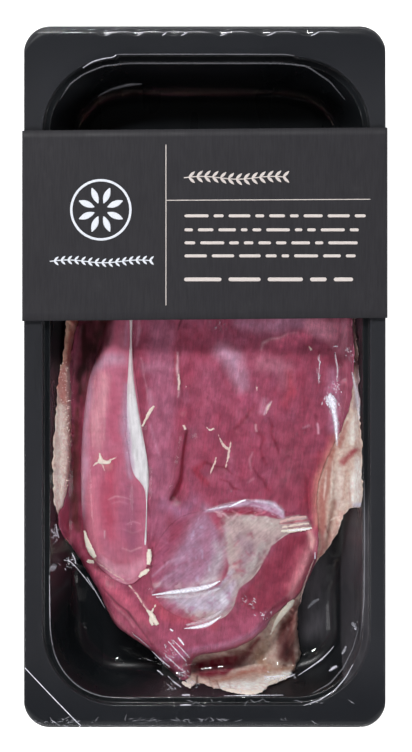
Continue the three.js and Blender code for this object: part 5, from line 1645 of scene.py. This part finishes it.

# Painted highlights on the film's folds, the tray's edges and the peel crease: a strength, then each one's
# picture points with a radius
FILM_GLINTS = [
    (0.95,
     [(152, 595, 0.6), (166, 593, 2.2), (182, 591, 3.6), (198, 589, 3.8), (210, 586, 3.2), (220, 581, 0.8)]),
    (0.3, [(156, 597, 1.5), (180, 596, 4.5), (205, 594, 4.5), (220, 588, 1.5)]),
    (0.95, [(184, 628.5, 0.5), (198, 627, 2.6), (208, 624.5, 3.2), (216, 620, 1.8), (221, 616, 0.5)]),
    (0.25, [(186, 625, 1.5), (205, 621, 4.5), (222, 611, 1.5)]),
    (0.95, [(229, 507, 0.6), (236, 503.8, 1.8), (241, 501.3, 1.8), (246, 499.8, 0.5)]),
    (0.5, [(208, 510, 0.6), (219, 507.5, 1.4), (229, 506, 1)]),
    (0.9, [(288, 530.5, 0.4), (300, 529.6, 1.4), (311, 528.5, 0.6)]),
    (0.6,
     [(329, 394, 1.6), (331, 400, 6.5), (332.8, 406, 6), (334.4, 413, 2)],
     [(333, 411, 1.6), (335.5, 418, 2.8), (336, 426, 2.4), (336.5, 440, 0.8)]),
    (0.3, [(330, 393, 2), (333, 404, 5), (336, 424, 4), (337, 446, 1.5)]),
    (0.4, [(352, 372, 1), (356, 390, 2.6), (358, 404, 3), (359, 420, 1)]),
    (0.3, [(319.6, 354, 0.3), (319.4, 367, 0.6), (318.4, 378, 1.2), (318.8, 384, 0.3)]),
    (0.6, [(333, 347, 0.4), (335.6, 346, 1.4), (338, 346.6, 0.4)]),
    (0.3, [(335, 352, 0.6), (335.6, 358, 1.3), (337.6, 368, 1.5), (337.4, 376, 1.2), (336, 382, 0.3)]),
    (0.8,
     [(152, 651, 0.4), (160, 659, 1.1), (170, 667, 0.5)], [(168, 641, 0.4), (177, 651, 1), (186, 661, 0.5)]),
    (0.6,
     [(173, 640, 0.4), (181, 648, 0.9), (190, 658, 0.4)],
     [(165, 655, 0.4), (172, 661, 0.8), (182, 670, 0.5)]),
    (0.95, [(178, 637.5, 0.9), (181, 641, 1.9), (184, 645, 0.8)]),
    (0.8, [(170, 629, 1.4), (173, 631, 1.4)]),
    (0.5, [(133, 634, 0.6), (141, 640, 0.9), (150, 648, 0.5)]),
    (0.8, [(315, 552, 0.6), (315, 559, 1.2)]),
    (0.7, [(56, 524, 0.6), (57, 531, 1.2), (59, 538, 0.7)]),
    (0.6, [(51, 530, 0.5), (54, 533, 1.1)]),
    (0.75, [(64, 560, 0.6), (70, 561, 1), (77, 568, 0.7)]),
    (0.6, [(72, 553, 0.8), (75, 559, 0.9), (76, 564, 0.6)]),
    (0.4, [(50.6, 567, 4.4), (53.4, 567.6, 6), (56, 568, 3.6)]),
    (0.5, [(77, 568, 0.5), (86, 579, 0.8), (94, 590, 0.5)]),
    (0.6, [(87, 577, 0.4), (93, 587, 0.7), (100, 599, 0.7), (105, 608, 0.4)]),
    (0.8,
     [(182, 694.5, 0.8), (186, 694.8, 1.4), (190, 694.4, 0.7)],
     [(180, 705, 0.6), (186, 704.6, 1), (191, 704.8, 0.5)]),
    (0.6, [(157, 670, 0.7), (160, 672, 1.3), (163, 675, 0.7)]),
    (0.55, [(224, 695.6, 0.4), (250, 695.4, 0.9), (283, 694.6, 0.5)]),
    (0.9, [(264, 677, 0.5), (274, 676.5, 0.9), (284, 675.5, 0.5)]),
    (0.7, [(284, 678, 0.6), (291, 676, 1.2), (295, 674, 0.5)]),
    (0.95, [(329, 671, 0.6), (333, 668, 1.9), (337, 666, 1.2)]),
    (0.5, [(342, 654, 1), (344.5, 650, 1.8), (346, 646, 0.8)]),
    (0.9, [(354.6, 628, 0.9), (355.6, 629.6, 1)]),
    (0.35, [(352, 622, 1.6), (356, 628, 2)]),
    (0.9, [(298, 675.5, 0.3), (310, 667.5, 0.7), (321.5, 659.5, 1), (329, 652, 0.6), (333.5, 646.5, 0.3)]),
    (0.7, [(304, 705.4, 0.3), (320, 699.5, 0.7), (335, 690, 0.8), (346, 677, 0.7), (353, 664, 0.3)]),
    (0.2, [(312, 693, 0.3), (330, 683, 0.8), (343, 668, 0.8), (353, 648, 0.5), (358.5, 628, 0.3)]),
    (0.16, [(364, 480, 0.3), (364.6, 540, 0.8), (364, 600, 0.8), (360, 640, 0.3)]),
    (0.14,
     [(60, 100, 0.4), (70, 84, 0.9), (84, 74, 0.9), (104, 66, 0.9), (130, 63.6, 0.9), (280, 63.6, 0.9),
      (306, 66, 0.9), (330, 82, 0.9), (345, 100, 0.4)]),
    (0.7, [(168, 676, 0.5), (174, 682, 1.3), (181, 687, 0.7)]),
    (0.2, [(308, 608, 1.5), (313, 602, 3), (319, 599, 1.5)]),
    (0.45, [(49.4, 575, 0.3), (49.8, 605, 0.7), (50.2, 628, 0.6), (52.5, 645, 0.3)]),
    (0.15,
     [(52, 640, 0.4), (54, 652, 0.8), (58, 662, 0.8), (64, 672, 0.8), (72, 681, 0.8), (80, 687.4, 0.8),
      (90, 692.6, 0.8), (102, 696.4, 0.7), (140, 699, 0.3)]),
    (0.8, [(83, 68, 0.5), (93, 61.6, 0.8), (103, 58.8, 0.7), (114, 57.4, 0.5), (116.2, 55, 0.7)]),
    (0.22, [(117, 54.6, 0.5), (160, 54.4, 0.6), (220, 54.4, 0.6), (286, 54.6, 0.6), (294, 56, 0.4)]),
    (0.15, [(98, 96, 0.6), (112, 89, 1.4), (130, 84.5, 1.8), (142, 84, 0.6)]),
    (0.95, [(24.8, 667.6, 0.6), (52, 696.4, 0.7), (81, 726.2, 0.6)]),
]
# Where the lip's film is nipped: how far along, and the length of the fold that leaves the nip
LIP_NIPS = ((105, 8), (137, 7), (162, 5), (181, 7), (220, 9), (267, 9), (311, 8))
# Clusters of small glints: middle, reach, main angle in degrees, number, length and strength
GLINT_CLUSTERS = [
    ((249, 602), (9, 6), 30, 20, 3.5, 0.4),
    ((261, 615), (11, 3), 60, 10, 2.4, 0.9),
    ((271, 613), (2, 1.5), -30, 3, 2, 0.9),
    ((170, 655), (14, 10), 50, 34, 4, 0.5),
    ((183, 673), (8, 8), 50, 24, 3, 0.6),
    ((172, 688), (8, 5), 20, 14, 3, 0.5),
    ((348, 351), (4, 6), 60, 20, 1.8, 0.5),
    ((319, 366), (2, 16), 85, 10, 5, 0.5),
    ((337, 388), (5, 8), 50, 26, 1.8, 0.6),
    ((352, 358), (3, 6), 60, 12, 1.6, 0.35),
    ((331, 399), (7, 8), 60, 40, 4, 0.9),
    ((334, 415), (4, 12), 80, 10, 4, 0.5),
    ((222, 325), (12, 6), 0, 30, 2, 0.2),
    ((337, 430), (3, 14), 85, 12, 3, 0.35),
    ((56, 535), (5, 9), 70, 34, 2.4, 0.8),
    ((72, 562), (8, 8), 45, 28, 2.4, 0.7),
    ((280, 677), (14, 3), 5, 22, 2.6, 0.7),
    ((192, 684), (6, 4), 30, 14, 2.4, 0.6),
    ((353, 626), (4, 5), 80, 10, 1.6, 0.6),
    ((128, 440), (4, 28), 20, 30, 1.6, 0.35),
    ((160, 720), (120, 3), 3, 40, 7, 0.22),
    ((60, 722), (26, 3), 0, 16, 5, 0.4),
    ((220, 529), (60, 60), 20, 40, 1.4, 0.25),
    ((240, 430), (80, 70), 80, 50, 1.3, 0.2),
    ((245, 702), (90, 3), 0, 16, 8, 0.25),
]


def film_surface(x, y):
    return film_low(x, y) + FILM_THICKNESS - lip_fall(y)


def under_the_eye(stroke):
    """A level path that the camera sees at the stroke's picture points when it lies on the film."""
    level = smooth_path(seen(stroke))
    scale = 1.0
    for _ in range(2):
        height = film_low(*(level[:, :2] * scale).T)
        scale = RIM_SCALE * (1 + (RIM - height) / CAMERA_HEIGHT)[:, None] / MEAT_SCALE
    return np.column_stack([level[:, :2] * scale, np.zeros(len(level)), level[:, 2]])


def lip_nip(x, reach):
    """The painted highlights along the two folds at a nip in the film over the lip."""
    low, high = (x, 35.8, 0.4), (x + reach, 31.8, 0.4)
    tail = [high, (x + reach + 12, 31.4, 0.6), (x + reach + 20, 32.6, 0.3)]
    return [(0.75, [low, (x + reach * 0.5, 34.2, 0.9), high]), (0.3, tail)]


glint_strokes = each_path(FILM_GLINTS)
for nip in LIP_NIPS:
    glint_strokes += lip_nip(*nip)
glint_order = np.random.default_rng(81)
for *scatter, strength in GLINT_CLUSTERS:
    for stroke in cluster(*scatter, glint_order):
        glint_strokes.append((strength * glint_order.uniform(0.5, 1), stroke))
level_glints = [under_the_eye(stroke) for _, stroke in glint_strokes]
fold_paths = path_mesh("fold_paths", level_glints, [strength for strength, _ in glint_strokes])
# The film's painted highlights: white ribbons with a slight glow, laid on the film.
folds = grown("film_folds", fold_paths, build_glints, FILM_GLINT, {"Sides": 12, "Flatness": 0.05})
draped(folds, film_surface, 0.12)
folds.visible_shadow = False
ride(folds, "clear_film")

# The card sleeve


def sleeve_section(inset):
    """The sleeve's section, narrower at the table than at the rim, with its corners rounded."""
    rim = (SLEEVE_WIDTH / 2 - inset, RIM - WALL - 0.9)
    right = [(SLEEVE_HALF_BASE - inset, inset), rim, (rim[0], SLEEVE_TOP - inset)]
    corners = right + [(-x, z) for x, z in right[::-1]]
    points = []
    for before, corner, after in zip(corners[-1:] + corners, corners, corners[1:] + corners[:1]):
        points += rounded_corner(before, corner, after, SLEEVE_ROUND - inset, 5)
    return np.array(points)


def sleeve_shape():
    """Loops along the outside of the band and back along its inside."""
    rows = np.linspace(SLEEVE_EDGE_Y, SLEEVE_EDGE_Y + SLEEVE_LENGTH, 25)
    loops = []
    for ring, along in ((sleeve_section(0), rows), (sleeve_section(CARD), rows[::-1])):
        x, z = ring.T
        loops += [np.column_stack([x, y + SLEEVE_SLOPE * x, z]) for y in along]
    return bands(loops, closed=True)


sleeve = mesh_object("card_band", *sleeve_shape(), CARD_FACE)
ride(sleeve, "sleeve_card", "card_sleeve")

# A plain printed design: a rule, word-length bars and a round flower


def stroke_with_ends(start, end, radius, steps=5):
    """A stroke with round ends, on the sleeve, in picture points."""
    (ax, ay), (bx, by) = seen([start, end], RIM_SCALE)
    length = max(np.hypot(bx - ax, by - ay), 1e-6)
    ux, uy = (bx - ax) / length, (by - ay) / length
    angles = np.linspace(0, np.pi / 2, steps + 1)[:-1]
    offsets = [(-radius * np.cos(a), radius * np.sin(a)) for a in angles] + [(0, radius)]
    head = [(ax + ux * s, ay + uy * s, 0, max(r, 0.01)) for s, r in offsets]
    tail = [(bx - ux * s, by - uy * s, 0, max(r, 0.01)) for s, r in offsets[::-1]]
    return head + tail


def word_bars(x0, x1, y, radius, seed, shortest=7, longest=26, space=4):
    """Bars of word length that fill a line."""
    order = np.random.default_rng(seed)
    bars = []
    x = x0
    while x < x1 - shortest:
        end = min(x + order.uniform(shortest, longest), x1)
        if x1 - end < shortest + space:
            end = x1
        bars.append(stroke_with_ends((x + 2, y), (end - 2, y), radius))
        x = end + space
    return bars


def leaf(x, y, angle, length, width):
    """A pointed leaf from its stalk, as a path with a radius."""
    steps = np.linspace(0, 1, 11)
    widths = 0.02 + width * np.sin(np.pi * np.clip(steps, 0.02, 0.98)) ** 0.8
    dx, dy = length * np.cos(angle), length * np.sin(angle)
    return [(x + dx * s, y + dy * s, 0, w) for s, w in zip(steps, widths)]


def round_flower(middle, ring_radius, petals):
    """A ring with a flower in it."""
    (cx, cy), = seen([middle], RIM_SCALE)
    angles = np.linspace(0, 2 * np.pi, 73)
    paths = [[(cx + ring_radius * np.cos(a), cy + ring_radius * np.sin(a), 0, 0.45) for a in angles]]
    for k in range(petals):
        a = 2 * np.pi * (k + 0.5) / petals
        inner = 0.24 * ring_radius
        paths.append(leaf(cx + inner * np.cos(a), cy + inner * np.sin(a), a, 0.56 * ring_radius, 1.15))
    return paths


def sprig(x0, x1, y, count, length, width):
    """A wavy stem with leaves on both sides, between two picture points."""
    (ax, ay), (bx, _) = seen([(x0, y), (x1, y)], RIM_SCALE)
    steps = np.linspace(0, 1, 60)
    stem = [(mix(ax, bx, s), ay + 0.5 * np.sin(9 * s), 0, 0.18) for s in steps]
    paths = [stem]
    for k in range(count):
        s = (k + 0.6) / count
        for side in (1, -1):
            paths.append(leaf(mix(ax, bx, s), ay + 0.5 * np.sin(9 * s), side * 0.75, length, width))
    return paths


PRINT_HEIGHT = SLEEVE_TOP * MM
INK = {"Sides": 8, "Flatness": 0.03, "Height": PRINT_HEIGHT}
cream_paths = [stroke_with_ends((166, 145), (166, 305), 0.17)]
cream_paths += [stroke_with_ends((167, 200.5), (370, 199.5), 0.15)]
cream_paths += sprig(184, 286, 178, 13, 3.0, 0.5)
for line, (y, end) in enumerate(((216, 366), (230, 359), (243, 358), (256, 356))):
    cream_paths += word_bars(184, end, y, 0.55, 10 + line)
cream_paths += word_bars(184, 353, 279.5, 0.7, 21, 14, 44, 7)
cream_print = grown("cream_print", path_mesh("cream_strokes", cream_paths), build_ridges, CREAM_INK, INK)
ride(cream_print, "sleeve_card")
white_paths = round_flower((101, 210), 10.6, 8) + sprig(50, 152, 261.5, 15, 2.2, 0.38)
white_print = grown("white_print", path_mesh("white_strokes", white_paths), build_ridges, WHITE_INK, INK)
ride(white_print, "sleeve_card")

# Camera, lights and table

table_corners = [(3000 * x, 3000 * y, 0) for x, y in ((-1, -1), (1, -1), (1, 1), (-1, 1))]
floor = mesh_object("table_top", table_corners, [(0, 1, 2, 3)], dressed("table", floor_look))
floor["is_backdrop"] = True

camera_data = bpy.data.cameras.new("camera")
camera = bpy.data.objects.new("camera", camera_data)
bpy.context.scene.collection.objects.link(camera)
middle = seen([(PICTURE[0] / 2, PICTURE[1] / 2)], RIM_SCALE)[0]
camera.location = (middle[0] * MM, middle[1] * MM, (RIM + CAMERA_HEIGHT) * MM)
camera_data.sensor_fit = "VERTICAL"
camera_data.sensor_height = 24
camera_data.lens = 24 * CAMERA_HEIGHT / (PICTURE[1] * RIM_SCALE)
camera_data.clip_end = 20
bpy.context.scene.camera = camera


def lamp(name, place_mm, size_mm, power, mirrored=True):
    """A soft box; one that isn't mirrored shows in no gloss."""
    data = bpy.data.lights.new(name, "AREA")
    data.shape = "RECTANGLE"
    data.size, data.size_y = (s * MM for s in size_mm)
    data.energy = power
    light = bpy.data.objects.new(name, data)
    light.location = Vector(place_mm) * MM
    aim = Vector((0, -20, 15)) * MM - light.location
    light.rotation_euler = aim.to_track_quat("-Z", "Y").to_euler()
    light.visible_glossy = mirrored
    bpy.context.scene.collection.objects.link(light)


lamp("key_light", (-300, 860, 920), (620, 95), 12.0)
lamp("near_light", (0, -1000, 950), (2200, 1000), 15.5, mirrored=False)
lamp("left_light", (-1100, -150, 620), (160, 900), 0.8)
lamp("right_light", (1100, -150, 620), (160, 900), 0.8)

world = bpy.data.worlds.new("studio")
bpy.context.scene.world = world
world.use_nodes = True
world.node_tree.nodes.clear()
tree = Nodes(world.node_tree)
direction = tree.add("ShaderNodeTexCoord", output="Generated")
up = part_of(tree, direction, "Z")
glow = spread(tree, up, 0.4, 0.8, 0.4, 0.02)
background = tree.add("ShaderNodeBackground", {}, {"Color": (1, 1, 1, 1), "Strength": glow})
tree.add("ShaderNodeOutputWorld", {}, {"Surface": background})

bpy.context.scene.view_settings.view_transform = "Standard"
bpy.context.scene.view_settings.look = "None"

[list(corner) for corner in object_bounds()]
